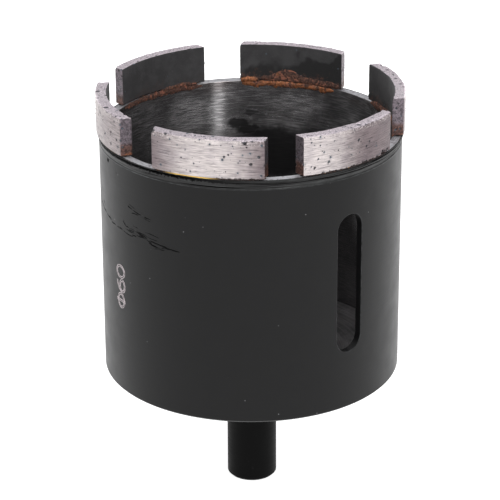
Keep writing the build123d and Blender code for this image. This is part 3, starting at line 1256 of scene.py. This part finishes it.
# The wear and the painted light of each segment, by number. A painted highlight placed far past a
# segment's end leaves its whole face evenly in painted shade
SEGMENT_WEAR_AND_LIGHT = {
    1: (0.1, 0.5, 0.6, 0.6, -9.0, 12.0, 0.6, 0.5),
    2: (0.14, 0.5, 0.0, 1.0, 0.0, 14.0, 0.5, 0.6),
    3: (0.06, 0.2, -0.4, 1.0, 0.0, 16.0, 1.1, 1.0),
    4: (0.06, 0.15, 0.0, 0.8, 0.0, 16.0, 0.05, 0.15),
    5: (0.16, 0.5, 0.3, 0.85, -100.0, 160.0, 0.5, 0.5),
    6: (0.1, 0.3, 0.0, 0.3, 0.1, 12.4, 0.6, 0.5),
}

# The points along each side of a segment's box, and the widest radius that its edges wear to
SEGMENT_POINTS = {"Vertices X": 20, "Vertices Y": 196, "Vertices Z": 68}
WIDEST_BREAK = 0.95 * MM


def segment_graph():
    """The tree of one segment: a box of fine quads, worn at its edges, pitted, bent to the crown's curve.

    In its own frame a segment's X is its depth, outwards, its Y runs along it and its Z is its height.
    """
    graph, given = shape_tree(
        "Crown segment",
        {"Flaws": "Geometry", "Seed": "Int", "Metal": "Material", "Diamond": "Material"},
        ("Width", "Outer Radius", "Inner Radius", "Bottom", "Top", "Angle", "Edge Break", *WEAR_AND_LIGHT_UNITS,
         "Grain Size", "Grain Density"),
    )
    depth = given["Outer Radius"] - given["Inner Radius"]
    height = given["Top"] - given["Bottom"]
    full = graph.join(depth, given["Width"], height)
    box = graph.add("GeometryNodeMeshCube", {"Size": full, **SEGMENT_POINTS})
    place = graph.add("GeometryNodeInputPosition", {})
    seed = given["Seed"]
    x, y, z = graph.parts(place)
    half = graph.scaled(full, 0.5)
    half_height = height * 0.5

    # The edges are rounded by a radius that wanders, wider along the cutting face
    coarse = graph.noise(place, 2.4 * MM, detail=3.0, seed=seed)
    fine = graph.noise(place, 0.5 * MM, detail=3.0, roughness=0.6, seed=seed)
    near_top = graph.ease(z, half_height - 1.6 * MM, half_height)
    lumps = graph.ease(graph.between(0.4, coarse, fine), 0.42, 0.7)
    wear = given["Edge Wear"] * lumps
    leaning = y / (given["Width"] * 0.5) * given["Lean"] + 1.0
    top_wear = given["Top Wear"] * near_top * lumps * leaning
    radius = graph.maths("MINIMUM", given["Edge Break"] + (wear + top_wear), WIDEST_BREAK)
    core_high = graph.vector("SUBTRACT", half, graph.join(radius, radius, radius))
    core_low = graph.scaled(core_high, -1.0)
    core = graph.vector("MINIMUM", graph.vector("MAXIMUM", place, core_low), core_high)
    facing = graph.vector("NORMALIZE", graph.vector("SUBTRACT", place, core))
    rounded = graph.vector("ADD", core, graph.scaled(facing, radius))

    # The ground face and the inside are the smoothest, the cutting face the roughest
    facing_out, facing_end, facing_up = graph.parts(facing)
    up = graph.ease(facing_up, 0.1, 0.6)
    end = graph.ease(abs(facing_end), 0.4, 0.9)
    crumbled = near_top * graph.ease(facing_out, 0.2, 0.8, 0.0, 0.1 * MM)
    rough = graph.between(up, 0.04 * MM, 0.22 * MM) + graph.between(end, 0.0, 0.08 * MM)
    rough += crumbled * leaning
    relief = (fine - 0.5) * rough + (coarse - 0.5) * (0.1 * MM)

    # Each point looks up the flaw that is nearest to it: a pit, a chip or a lump
    nearest = {"Geometry": given["Flaws"], "Sample Position": place}
    nearest = graph.add("GeometryNodeSampleNearest", nearest, domain="POINT")

    def of_flaw(value, kind):
        inputs = {"Geometry": given["Flaws"], "Value": value, "Index": nearest}
        return graph.add("GeometryNodeSampleIndex", inputs, data_type=kind, domain="POINT")

    def of_name(name):
        return of_flaw(graph.kept(name), "FLOAT")

    away = graph.vector("SUBTRACT", place, of_flaw(place, "FLOAT_VECTOR"))
    away = (fine - 0.5) * 1.3 + graph.length(away) / of_name("reach")
    hollow = graph.ease(away, 0.4, 1.1, 1.0, 0.0)
    sink = hollow * of_name("sink")
    pit = hollow * graph.maths("GREATER_THAN", sink, 0.0)
    moved = graph.vector("ADD", rounded, graph.scaled(facing, relief - sink))

    # The flat bar is bent by sliding its points outwards, so its ends stay parallel
    deep, along, high = graph.parts(moved)
    outer = graph.chord(given["Outer Radius"], along)
    inner = graph.chord(given["Inner Radius"], along)
    outwards = deep / depth + 0.5
    middle = given["Bottom"] + half_height
    bent = graph.join(graph.between(outwards, inner, outer), along, high + middle)
    turn = {"Vector": bent, "Angle": given["Angle"]}
    bent = graph.add("ShaderNodeVectorRotate", turn, rotation_type="Z_AXIS")

    kept = graph.join(x, y, z + half_height)
    bar = graph.keep(box, "bar_place", kept, "FLOAT_VECTOR")
    bar = graph.keep(bar, "bar_facing", facing, "FLOAT_VECTOR")
    # Painted highlight and shade along the ground face: darker away from the painted highlight's place,
    # with a wandering border
    painted_shade = (coarse - 0.5) * (5 * MM) + abs(y - given["Painted Highlight Place"])
    soil = of_name("soil")
    numbers = {
        "pit": pit,
        "soil": soil,
        "halo": graph.ease(away, 0.6, 2.2, 1.0, 0.0) * soil,
        "painted_shade": graph.ease(painted_shade, given["Painted Highlight Spread"] * 0.2, given["Painted Highlight Spread"]),
        "smoke": given["Smoke"] * leaning,
        "stain": graph.maths("MULTIPLY", given["Stain"], leaning, clamp=True),
        "painted_end_shade": given["Painted End Shade"],
        "segment_seed": seed * 1.0,
    }
    for name, value in numbers.items():
        bar = graph.keep(bar, name, value, "FLOAT")
    bar = graph.add("GeometryNodeSetPosition", {"Geometry": bar, "Position": bent})
    bar = graph.add("GeometryNodeSetShadeSmooth", {"Geometry": bar})
    bar = graph.add("GeometryNodeSetMaterial", {"Geometry": bar, "Material": given["Metal"]})

    is_grain = graph.maths("GREATER_THAN", graph.kept("grain"), 0.5)
    grains = grains_in(graph, bar, given)
    end_tree(graph, graph.gathered(bar, grains), given["Diamond"], is_grain)
    return graph


# Pits in the ground faces, by segment: place along, height above the foot and radius, in millimetres
PITS = {
    1: (
        (-9.4, 6.3, 0.22), (-7.7, 7.1, 0.28), (-7.7, 5.5, 0.25), (-6.9, 4.1, 0.25), (-5.6, 2.8, 0.3),
        (-5.9, 2.0, 0.4), (-8.1, 2.9, 0.25), (-9.4, 1.6, 0.22), (-8.7, 1.3, 0.35), (-4.8, 5.9, 0.22),
        (-3.9, 3.9, 0.25), (1.0, 4.8, 0.42), (3.8, 3.8, 0.3), (3.0, 3.1, 0.3), (6.0, 2.3, 0.2),
        (-0.8, 2.3, 0.2),
    ),
    6: (
        (-6.9, 6.5, 0.22), (-0.9, 7.3, 0.25), (1.0, 6.5, 0.3), (3.6, 4.3, 0.3), (4.4, 4.7, 0.28),
        (3.3, 3.7, 0.3), (5.2, 6.4, 0.2), (7.7, 6.2, 0.25), (7.0, 4.7, 0.2), (8.3, 5.0, 0.28),
        (9.8, 4.3, 0.35), (10.3, 6.5, 0.3), (8.4, 2.9, 0.4), (6.2, 3.2, 0.2), (-8.9, 1.1, 0.28),
        (-2.1, 2.5, 0.25), (-2.8, 0.9, 0.25), (3.9, 1.4, 0.2), (6.1, 1.2, 0.22), (10.2, 0.7, 0.3),
        (-4.6, 3.3, 0.2),
    ),
}

# Chips and lumps, by segment: place in the wall's thickness, place along, height, radius and how deep
# it goes, in millimetres. A lump stands up, so its depth is less than nothing
CHIPS = {
    1: (
        (1.1, 8.1, 0.2, 0.8, 0.5), (1.1, -10.8, 7.6, 0.42, -0.34), (0.9, 4.6, 7.4, 0.8, -0.16),
        (1.0, 8.2, 7.3, 0.9, -0.18), (0.9, 6.3, 6.6, 0.6, -0.12), (0.3, 1.5, 7.5, 0.7, 0.2),
        (1.1, 4.9, 0.0, 0.4, 0.25), (1.1, 6.2, 0.1, 0.4, 0.25), (1.1, 8.8, 0.15, 0.55, 0.45),
        (1.1, 9.8, 0.35, 0.6, 0.5),
    ),
    2: (
        (0.2, 6.5, 7.5, 0.5, 0.16), (0.3, 3.8, 7.5, 0.5, 0.18), (0.0, 1.0, 7.5, 0.5, 0.16),
        (0.2, -2.4, 7.5, 0.5, 0.18), (0.4, -6.0, 7.5, 0.6, -0.12), (0.9, 9.6, 7.5, 0.8, 0.3),
    ),
    3: ((1.0, 6.0, 7.5, 0.5, 0.25), (-1.1, 10.6, 7.4, 0.4, 0.2)),
    4: ((-1.1, -4.0, 7.5, 0.4, 0.2), (1.0, 10.7, 7.5, 0.5, 0.25)),
    5: (
        (-0.9, 8.9, 7.5, 0.5, 0.14), (-1.1, -3.0, 7.5, 0.6, 0.2), (0.8, 7.6, 7.5, 0.6, -0.14),
        (0.5, 3.8, 7.5, 0.7, 0.2), (0.9, 0.5, 7.5, 0.6, -0.12), (0.6, -6.0, 7.5, 0.7, 0.22),
    ),
    6: (
        (1.1, 7.27, 7.2, 0.62, 0.5), (0.8, -10.9, 7.6, 1.0, 0.5), (0.9, -7.8, 7.5, 0.5, 0.14),
        (1.1, 10.85, 2.6, 0.3, 0.2), (1.1, 8.6, 7.5, 0.4, 0.2), (0.9, 4.0, 7.5, 0.5, -0.08),
    ),
}

# Where the foot of a ground face has crumbled, by segment: from and to along it, how many chips, and
# the radius of the largest, with lengths in millimetres
CRUMBLED_FEET = {1: (-8.0, 10.8, 44, 0.5), 2: (-10.0, 8.0, 16, 0.26), 6: (1.5, 10.4, 24, 0.27)}

# How deep a pit goes, in radii, the share of dirt in a chip, and how much less dirt a chip at the
# foot has
PIT_DEPTH = 0.7
CHIP_DIRT = 0.2
FOOT_DIRT = 0.25


def scattered(rng, count, low, high, reach, sink):
    """Rows of chance flaws between two corners: place, reach, depth and a share of dirt."""
    places = rng.uniform(low, high, (count, 3))
    return np.column_stack(
        (places, rng.uniform(*reach, count), rng.uniform(*sink, count), rng.random(count))
    )


def flaw_cloud(number, crown):
    """An object whose points mark the flaws of one segment, each with its reach, depth and dirt.

    The flaws that the segment is known to have come first, and the chance ones keep clear of them.
    The chance ones lie on top, on the two ends, on the inner face and on the ground face, in turn.
    """
    rng = np.random.default_rng(crown.seed + number)
    out = (crown.outer - crown.inner) / 2 / MM
    end = crown.width / 2 / MM
    top = (crown.top - crown.bottom) / MM
    chips = [(*chip, CHIP_DIRT) for chip in CHIPS[number]]
    pits = [
        (out, along, up, reach, PIT_DEPTH * reach, rng.random())
        for along, up, reach in PITS.get(number, ())
    ]
    chance = [
        scattered(rng, 34, (-out, -end, top), (out, end, top), (0.18, 0.4), (-0.16, 0.2)),
        scattered(rng, 9, (-out, -end, 0), (out, -end, top), (0.15, 0.35), (-0.1, 0.2)),
        scattered(rng, 9, (-out, end, 0), (out, end, top), (0.15, 0.35), (-0.1, 0.2)),
        scattered(rng, 12, (-out, -end, 0), (-out, end, top), (0.12, 0.25), (-0.1, 0.1)),
        scattered(rng, 14, (out, -end, 0), (out, end, top), (0.12, 0.2), (0.05, 0.12)),
    ]
    if not pits:
        chance.append(scattered(rng, 26, (out, -end, 0), (out, end, top), (0.2, 0.36), (0.1, 0.25)))
    if number in CRUMBLED_FEET:
        first, last, count, reach = CRUMBLED_FEET[number]
        foot = scattered(rng, count, (out, first, -0.1), (out, last, 0.1), (0.15, reach), (0.12, 0.3))
        foot[:, 5] *= FOOT_DIRT
        chance.append(foot)
    rows = np.array(chips + pits)
    known = rows
    for group in chance:
        gaps = np.linalg.norm(group[:, None, :3] - known[None, :, :3], axis=2)
        clear = (gaps > group[:, None, 3] + known[None, :, 3]).all(axis=1)
        rows = np.concatenate((rows, group[clear]))
    mesh = bpy.data.meshes.new("flaws")
    places = rows[:, :3] * MM - (0, 0, (crown.top - crown.bottom) / 2)
    mesh.from_pydata(places, [], [])
    write_attribute(mesh, "reach", rows[:, 3] * MM)
    write_attribute(mesh, "sink", rows[:, 4] * MM)
    write_attribute(mesh, "soil", rows[:, 5])
    return linked("flaws", mesh)


# The flat sheet that a run of braze is rolled from, from -1 to 1 both along it and around it
BEAD_SHEET = {"Size X": 2.0, "Size Y": 2.0, "Vertices X": 200, "Vertices Y": 33}


def bead_graph():
    """The tree of one run of braze: a tube round part of the rim that tapers shut at both ends."""
    graph, given = shape_tree(
        "Braze bead",
        {"Seed": "Int", "Braze": "Material"},
        ("Path Radius", "Height", "Reach", "Rise", "Angle", "Half Spread", "Climb", "Drip", "Lump",
         "Flood Place", "Flood Climb", "Clean", "Gilt Place", "Gilt Spread"),
    )
    sheet = graph.add("GeometryNodeMeshGrid", BEAD_SHEET)
    across, around, _ = graph.parts(graph.add("GeometryNodeInputPosition", {}))
    turn = around * math.pi
    out = graph.maths("COSINE", turn)
    up = graph.maths("SINE", turn)
    taper = graph.maths("SQRT", graph.maths("MAXIMUM", 1.0 - abs(across) ** 8.0, 0.0))

    angle = given["Angle"] + across * given["Half Spread"]
    arc_length = angle * given["Path Radius"]
    run = graph.join(arc_length, 0.0, 0.0)
    wander = graph.noise(run, 2.6 * MM, detail=4.0, roughness=0.65, seed=given["Seed"])
    other = graph.noise(run, 1.7 * MM, detail=4.0, roughness=0.65, seed=given["Seed"] + 50.0)

    # The bead climbs and drips by chance, and floods up over one place
    flooded = abs(across - given["Flood Place"])
    flooded = graph.ease(flooded, 0.0, 0.5, 1.0, 0.0) * given["Flood Climb"]
    flooded *= graph.ease(other, 0.25, 0.7, 0.55, 1.15)
    climb = given["Climb"] * graph.ease(wander, 0.4, 0.75) + flooded
    drip = given["Drip"] * graph.ease(other, 0.4, 0.75)
    above = graph.maths("MAXIMUM", up, 0.0) * climb
    below = graph.maths("MINIMUM", up, 0.0) * drip
    height = (up * given["Rise"] + (above + below)) * taper
    width = out * (given["Reach"] * graph.between(wander, 0.65, 1.25)) * taper
    even = graph.join(arc_length, width, height)
    lump = graph.noise(even, 0.7 * MM, detail=4.0, roughness=0.65, seed=given["Seed"])
    lump = (lump - 0.5) * given["Lump"] * taper
    radius = lump * out + (given["Path Radius"] + width)
    laid = graph.round_axis(radius, angle, given["Height"] + (lump * up + height))
    off = abs(across - given["Gilt Place"])
    gilt = graph.ease(off, given["Gilt Spread"] * 0.35, given["Gilt Spread"], 1.0, 0.0)
    tube = graph.keep(sheet, "gilt", gilt, "FLOAT")
    tube = graph.keep(tube, "clean", given["Clean"], "FLOAT")
    tube = graph.add("GeometryNodeSetPosition", {"Geometry": tube, "Position": laid})
    tube = graph.add("GeometryNodeMergeByDistance", {"Geometry": tube, "Distance": 0.002 * MM})
    tube = graph.add("GeometryNodeSetShadeSmooth", {"Geometry": tube})
    end_tree(graph, tube, given["Braze"])
    return graph


# Runs of braze along the inner foot of each segment, by number: from and to along the segment, the
# middle's height over the rim, reach, half height, climb, drip, lumps, the place and the climb of a
# flood, all in millimetres, then how clean it is
BRAZE_RUNS = {
    1: ((-10.4, 10.5, 0.0, 0.4, 0.7, 0.5, 0.4, 0.35, 3.0, 0.5, 0.5),),
    2: ((-10.5, 10.3, 0.0, 0.4, 0.6, 0.5, 0.4, 0.35, -4.0, 0.6, 0.4),),
    3: (
        (-9.2, 10.8, -0.45, 0.26, 0.5, 0.35, 0.7, 0.3, 0.0, 0.0, 0.65),
        (-10.9, 7.0, 0.7, 0.22, 0.6, 0.7, 0.4, 0.35, 0.95, 1.4, 0.2),
        (7.4, 11.0, 0.3, 0.3, 0.55, 0.3, 0.3, 0.35, 9.5, 0.2, 0.8),
    ),
    4: (
        (-10.7, 10.4, -0.45, 0.15, 0.45, 0.3, 0.6, 0.3, -3.0, 0.2, 0.15),
        (-9.5, -1.0, 0.2, 0.17, 0.35, 0.4, 0.3, 0.35, -6.0, 0.4, 0.35),
    ),
    5: ((-10.4, 10.5, 0.0, 0.38, 0.65, 0.4, 0.4, 0.35, 0.0, 0.4, 0.4),),
    6: ((-10.5, 10.4, 0.0, 0.42, 0.7, 0.4, 0.4, 0.35, -6.0, 0.8, 0.5),),
}

# Where bright braze shows in the outer seam, by segment: from and to along it, in millimetres
GILT_SEAMS = {6: (-8.6, 3.0)}

# For a run with no bright braze: a place past its ends, which lie at -1 and 1, and a spread
NO_GILT = (3.0, 0.1)

# How far a seam fills its gap, from the gap's middle, and how much of a segment's width it takes up
SEAM_FILL = 0.62
SEAM_SHARE = 0.995


def segment_angle(number):
    """The angle round the axis at which a segment stands, from the middle of its solid's points."""
    middle = read_points(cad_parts[f"segment_{number}"].data).mean(axis=0)
    return math.atan2(middle[1], middle[0])


class CORE_BIT_OT_segments(bpy.types.Operator):
    """Make the six diamond segments of the crown"""

    bl_idname = "core_bit.segments"
    bl_label = "Segments"

    def execute(self, context):
        crown = context.scene.core_bit_crown
        colours = context.scene.core_bit_colours
        metal = sintered_metal(colours)
        diamond = diamond_grain()
        graph = segment_graph()
        for number in range(1, SEGMENT_COUNT + 1):
            # The segment's wear, and its painted highlight and painted shade
            wear = zip(WEAR_AND_LIGHT_UNITS.items(), SEGMENT_WEAR_AND_LIGHT[number])
            values = {
                "Width": crown.width,
                "Outer Radius": crown.outer,
                "Inner Radius": crown.inner,
                "Bottom": crown.bottom,
                "Top": crown.top,
                "Angle": segment_angle(number),
                "Edge Break": crown.edge_break,
                **{name: value * unit for (name, unit), value in wear},
                "Grain Size": crown.grain,
                "Grain Density": crown.grain_count / MM**2,
                "Seed": crown.seed + number,
                "Metal": metal,
                "Diamond": diamond,
            }
            piece = grown(f"diamond_segment_{number}", graph, values, flaw_cloud(number, crown))
            finished(piece, "diamond_segment", f"segment_{number}")
        return {"FINISHED"}


class CORE_BIT_OT_braze(bpy.types.Operator):
    """Make the braze under each segment: runs along its inner foot and a seam that shows outside"""

    bl_idname = "core_bit.braze"
    bl_label = "Braze"

    def execute(self, context):
        crown = context.scene.core_bit_crown
        cup = context.scene.core_bit_cup
        braze = copper_braze(context.scene.core_bit_colours)
        graph = bead_graph()
        for number in range(1, SEGMENT_COUNT + 1):
            shared = {
                "Angle": segment_angle(number),
                "Seed": crown.seed + 10 * number,
                "Braze": braze,
            }
            for step, run in enumerate(BRAZE_RUNS[number]):
                values = {**shared, **self.bead_values(crown, cup, run)}
                values["Angle"] += (run[0] + run[1]) / 2 * MM / crown.inner
                piece = grown(f"braze_bead_{number}_{step + 1}", graph, values)
                finished(piece, "copper_braze", f"braze_{number}")
            values = {**shared, **self.seam_values(crown, cup, GILT_SEAMS.get(number))}
            piece = grown(f"braze_seam_{number}", graph, values)
            finished(piece, "copper_braze", f"braze_{number}")
        return {"FINISHED"}

    def bead_values(self, crown, cup, run):
        """What the tree is told for a run along the inner foot."""
        first, last, height, reach, rise, climb, drip, lump, flood, flood_climb, clean = run
        half = (last - first) / 2
        return {
            "Path Radius": crown.inner + crown.bead_bite,
            "Height": cup.rim_top + height * MM,
            "Reach": reach * MM + crown.bead_bite,
            "Rise": rise * MM,
            "Half Spread": half * MM / crown.inner,
            "Climb": climb * MM,
            "Drip": drip * MM,
            "Lump": lump * MM,
            "Flood Place": (flood - (first + last) / 2) / half,
            "Flood Climb": flood_climb * MM,
            "Clean": clean,
            "Gilt Place": NO_GILT[0],
            "Gilt Spread": NO_GILT[1],
        }

    def seam_values(self, crown, cup, gilt):
        """What the tree is told for the seam between a segment and the rim."""
        middle = (cup.inner + crown.outer) / 2
        half_width = crown.width / 2
        gilt_place, gilt_spread = NO_GILT
        if gilt:
            gilt_place = (gilt[0] + gilt[1]) / 2 * MM / half_width
            gilt_spread = (gilt[1] - gilt[0]) / 2 * MM / half_width
        return {
            "Path Radius": middle,
            "Height": cup.rim_top + crown.seam / 2,
            "Reach": crown.outer - middle - crown.seam_inset,
            "Rise": crown.seam * SEAM_FILL,
            "Half Spread": math.asin(half_width / middle) * SEAM_SHARE,
            "Climb": 0.0,
            "Drip": 0.0,
            "Lump": crown.seam_lump,
            "Flood Place": 0.0,
            "Flood Climb": 0.0,
            "Clean": crown.seam_clean,
            "Gilt Place": gilt_place,
            "Gilt Spread": gilt_spread,
        }


# Size mark


def arc(centre, radii, start, end, steps=24):
    """Points of an ellipse's arc, from one angle in degrees to another."""
    turn = np.radians(np.linspace(start, end, steps))
    return [(centre[0] + radii[0] * math.cos(t), centre[1] + radii[1] * math.sin(t)) for t in turn]


def mark_strokes(height):
    """Strokes of a diameter sign, a six and a nought on one line, with the letters' height given."""
    half = height / 2
    narrow = height * 0.42
    sign = height * 0.5
    gap = height * 0.2
    six = sign * 2 + gap + narrow
    nought = six + narrow * 2 + gap
    return [
        (arc((sign, half), (sign, half * 0.8), 0, 360, 36), True),
        ([(sign, -height * 0.06), (sign, height * 1.12)], False),
        (arc((six, half * 0.62), (narrow, half * 0.62), 0, 360, 28), True),
        (arc((six + narrow * 1.1, half * 0.7), (narrow * 2.1, half * 1.3), 178, 100, 14), False),
        (arc((nought, half), (narrow, half), 0, 360, 32), True),
    ]


def stroke_graph():
    """The tree that turns flat strokes into thin print wrapped on the wall, reading upwards."""
    graph, given = shape_tree(
        "Wrapped print",
        {"Strokes": "Geometry", "Ink": "Material"},
        ("Wall Radius", "Angle", "Height", "Line Width", "Line Gap", "Thickness", "Step"),
    )
    stepped = {"Curve": given["Strokes"], "Length": given["Step"]}
    stepped = graph.add("GeometryNodeResampleCurve", stepped, mode="LENGTH")
    level = graph.add("GeometryNodeSetCurveNormal", {"Curve": stepped}, mode="Z_UP")
    section = {"Width": given["Line Width"], "Height": given["Thickness"]}
    section = graph.add("GeometryNodeCurvePrimitiveQuadrilateral", section)

    # Each stroke is hollow: one line runs down each side of it
    sideways = graph.add("GeometryNodeInputNormal", {})
    lines = []
    for side in (-0.5, 0.5):
        offset = graph.scaled(sideways, given["Line Gap"] * side)
        lines.append(graph.add("GeometryNodeSetPosition", {"Geometry": level, "Offset": offset}))
    bar = {"Curve": graph.gathered(*lines), "Profile Curve": section, "Fill Caps": True}
    bar = graph.add("GeometryNodeCurveToMesh", bar)
    along, rise, proud = graph.parts(graph.add("GeometryNodeInputPosition", {}))
    turn = given["Angle"] - rise / given["Wall Radius"]
    radius = given["Wall Radius"] + proud
    laid = graph.round_axis(radius, turn, given["Height"] + along)
    bar = graph.add("GeometryNodeSetPosition", {"Geometry": bar, "Position": laid})
    end_tree(graph, bar, given["Ink"])
    return graph


class CORE_BIT_OT_size_mark(bpy.types.Operator):
    """Print the plain size mark on the cup: a diameter sign and the crown's size in millimetres"""

    bl_idname = "core_bit.size_mark"
    bl_label = "Size Mark"

    def execute(self, context):
        mark = context.scene.core_bit_mark
        strokes = bpy.data.curves.new("size_mark", "CURVE")
        strokes.dimensions = "3D"
        for points, closed in mark_strokes(mark.letters):
            if closed:
                points = points[:-1]
            spline = strokes.splines.new("POLY")
            spline.points.add(len(points) - 1)
            for point, (along, rise) in zip(spline.points, points):
                point.co = (along, rise, 0, 1)
            spline.use_cyclic_u = closed
        values = {
            "Wall Radius": context.scene.core_bit_cup.outer,
            "Angle": mark.angle,
            "Height": mark.height,
            "Line Width": mark.line,
            "Line Gap": mark.gap,
            "Thickness": mark.thickness,
            "Step": mark.step,
            "Ink": pale_print(context.scene.core_bit_colours),
        }
        piece = grown("size_mark", stroke_graph(), values, linked("size_mark", strokes))
        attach(piece, "root")
        return {"FINISHED"}


# Stage


def sky(azimuth, rise):
    """The direction towards a place in the sky, from its azimuth and how far up it is."""
    level = math.cos(rise)
    return Vector((math.sin(azimuth) * level, -math.cos(azimuth) * level, math.sin(rise)))


# Soft lights: name, degrees round from the camera, degrees up, distance and sides in metres, power
# in watts
LIGHTS = (
    ("key_light", 26, 32, 0.7, (0.1, 0.4), 1.7),
    ("fill_light", -32, 30, 0.7, (0.6, 0.5), 1.3),
    ("side_light", 46, 30, 0.7, (0.3, 0.5), 0.6),
    ("left_light", -100, 20, 0.5, (0.3, 0.5), 0.44),
    ("right_light", 104, 20, 0.5, (0.3, 0.5), 0.15),
    ("left_back_light", -150, 6, 0.6, (0.3, 0.3), 1.0),
    ("right_back_light", 150, 6, 0.6, (0.3, 0.3), 1.15),
    ("top_light", 150, 70, 0.6, (0.45, 0.45), 0.9),
)

# The point that every light looks at, and how bright the pale floor and the room are
LIT_POINT = (0, 0, 50 * MM)
FLOOR_GREY = 0.6
FLOOR_GLOW = 0.64
FLOOR_GLOW_SEEN = 0.8
ROOM_TONE = (0.5, 0.5, 0.51)
WHITE = (1.0, 1.0, 1.0)


def softbox(studio, name, turn, rise, distance, sides, power):
    """An area light that looks at the bit, turned from the camera's azimuth and raised."""
    light = bpy.data.lights.new(name, "AREA")
    light.shape = "RECTANGLE"
    light.size, light.size_y = sides
    light.energy = power
    lamp = linked(name, light)
    towards = sky(studio.azimuth + math.radians(turn), math.radians(rise))
    lamp.rotation_euler = towards.to_track_quat("Z", "Y").to_euler()
    lamp.location = Vector(LIT_POINT) + towards * distance


class CORE_BIT_OT_stage(bpy.types.Operator):
    """Set the pale floor, the soft light and the camera"""

    bl_idname = "core_bit.stage"
    bl_label = "Floor, Light and Camera"

    def execute(self, context):
        studio = context.scene.core_bit_studio
        self.make_floor(studio)
        self.make_light(context, studio)
        self.make_camera(context, studio)
        return {"FINISHED"}

    def make_floor(self, studio):
        mesh = bpy.data.meshes.new("floor")
        half = studio.floor / 2
        corners = [(-half, -half, 0), (half, -half, 0), (half, half, 0), (-half, half, 0)]
        mesh.from_pydata(corners, [], [(0, 1, 2, 3)])
        pale = Finish("pale_floor", Roughness=0.9, Specular_IOR_Level=0.2)
        seen = pale.add("ShaderNodeLightPath", {}, "Is Camera Ray")
        pale.set("Emission Strength", pale.between(seen, FLOOR_GLOW, FLOOR_GLOW_SEEN))
        pale.set("Base Color", (FLOOR_GREY, FLOOR_GREY, FLOOR_GREY))
        pale.set("Emission Color", WHITE)
        mesh.materials.append(pale.material)
        linked("floor", mesh)

    def make_light(self, context, studio):
        world = bpy.data.worlds.new("studio")
        world.use_nodes = True
        context.scene.world = world
        graph = Graph(world.node_tree)
        soft = next(node for node in graph.tree.nodes if node.type == "BACKGROUND")
        seen = graph.add("ShaderNodeLightPath", {}, "Is Camera Ray")
        graph.feed(soft, "Color", graph.blend(seen, ROOM_TONE, WHITE))
        for light in LIGHTS:
            softbox(studio, *light)
        context.scene.view_settings.view_transform = "Standard"

    def make_camera(self, context, studio):
        data = bpy.data.cameras.new("camera")
        data.sensor_width = 36.0
        data.lens = studio.lens
        data.shift_x = studio.shift_x
        data.shift_y = studio.shift_y
        data.clip_start = 0.01
        data.clip_end = 20.0
        camera = linked("camera", data)
        back = sky(studio.azimuth, studio.elevation)
        aim = Vector(studio.aim) * MM
        turn = back.to_track_quat("Z", "Y").to_matrix().to_4x4()
        lean = Matrix.Rotation(studio.roll, 4, "Z")
        camera.matrix_world = Matrix.Translation(aim + back * studio.distance) @ turn @ lean
        context.scene.camera = camera


class CORE_BIT_PT_panel(bpy.types.Panel):
    """Lists the pieces of the core bit"""

    bl_idname = "CORE_BIT_PT_panel"
    bl_label = "Core Bit"
    bl_space_type = "VIEW_3D"
    bl_region_type = "UI"
    bl_category = "Core Bit"

    def draw(self, context):
        for operator in OPERATORS:
            self.layout.operator(operator.bl_idname)
        for group in SETTINGS:
            column = self.layout.column(align=True)
            settings = getattr(context.scene, group)
            for name in settings.bl_rna.properties.keys():
                if name not in {"rna_type", "name"}:
                    column.prop(settings, name)


OPERATORS = (
    CORE_BIT_OT_barrel,
    CORE_BIT_OT_base,
    CORE_BIT_OT_segments,
    CORE_BIT_OT_braze,
    CORE_BIT_OT_size_mark,
    CORE_BIT_OT_stage,
)
SETTINGS = {
    "core_bit_cup": CupSizes,
    "core_bit_base": BaseSizes,
    "core_bit_crown": CrownSizes,
    "core_bit_mark": MarkSizes,
    "core_bit_colours": FinishColours,
    "core_bit_studio": StudioSizes,
}


def register():
    for kind in (*SETTINGS.values(), *OPERATORS, CORE_BIT_PT_panel):
        bpy.utils.register_class(kind)
    for name, kind in SETTINGS.items():
        setattr(bpy.types.Scene, name, PointerProperty(type=kind))


def unregister():
    for name in SETTINGS:
        delattr(bpy.types.Scene, name)
    for kind in (CORE_BIT_PT_panel, *OPERATORS, *SETTINGS.values()):
        bpy.utils.unregister_class(kind)


def main():
    register()
    bpy.ops.core_bit.barrel()
    bpy.ops.core_bit.base()
    bpy.ops.core_bit.segments()
    bpy.ops.core_bit.braze()
    bpy.ops.core_bit.size_mark()
    bpy.ops.core_bit.stage()


if __name__ == "__main__":
    main()
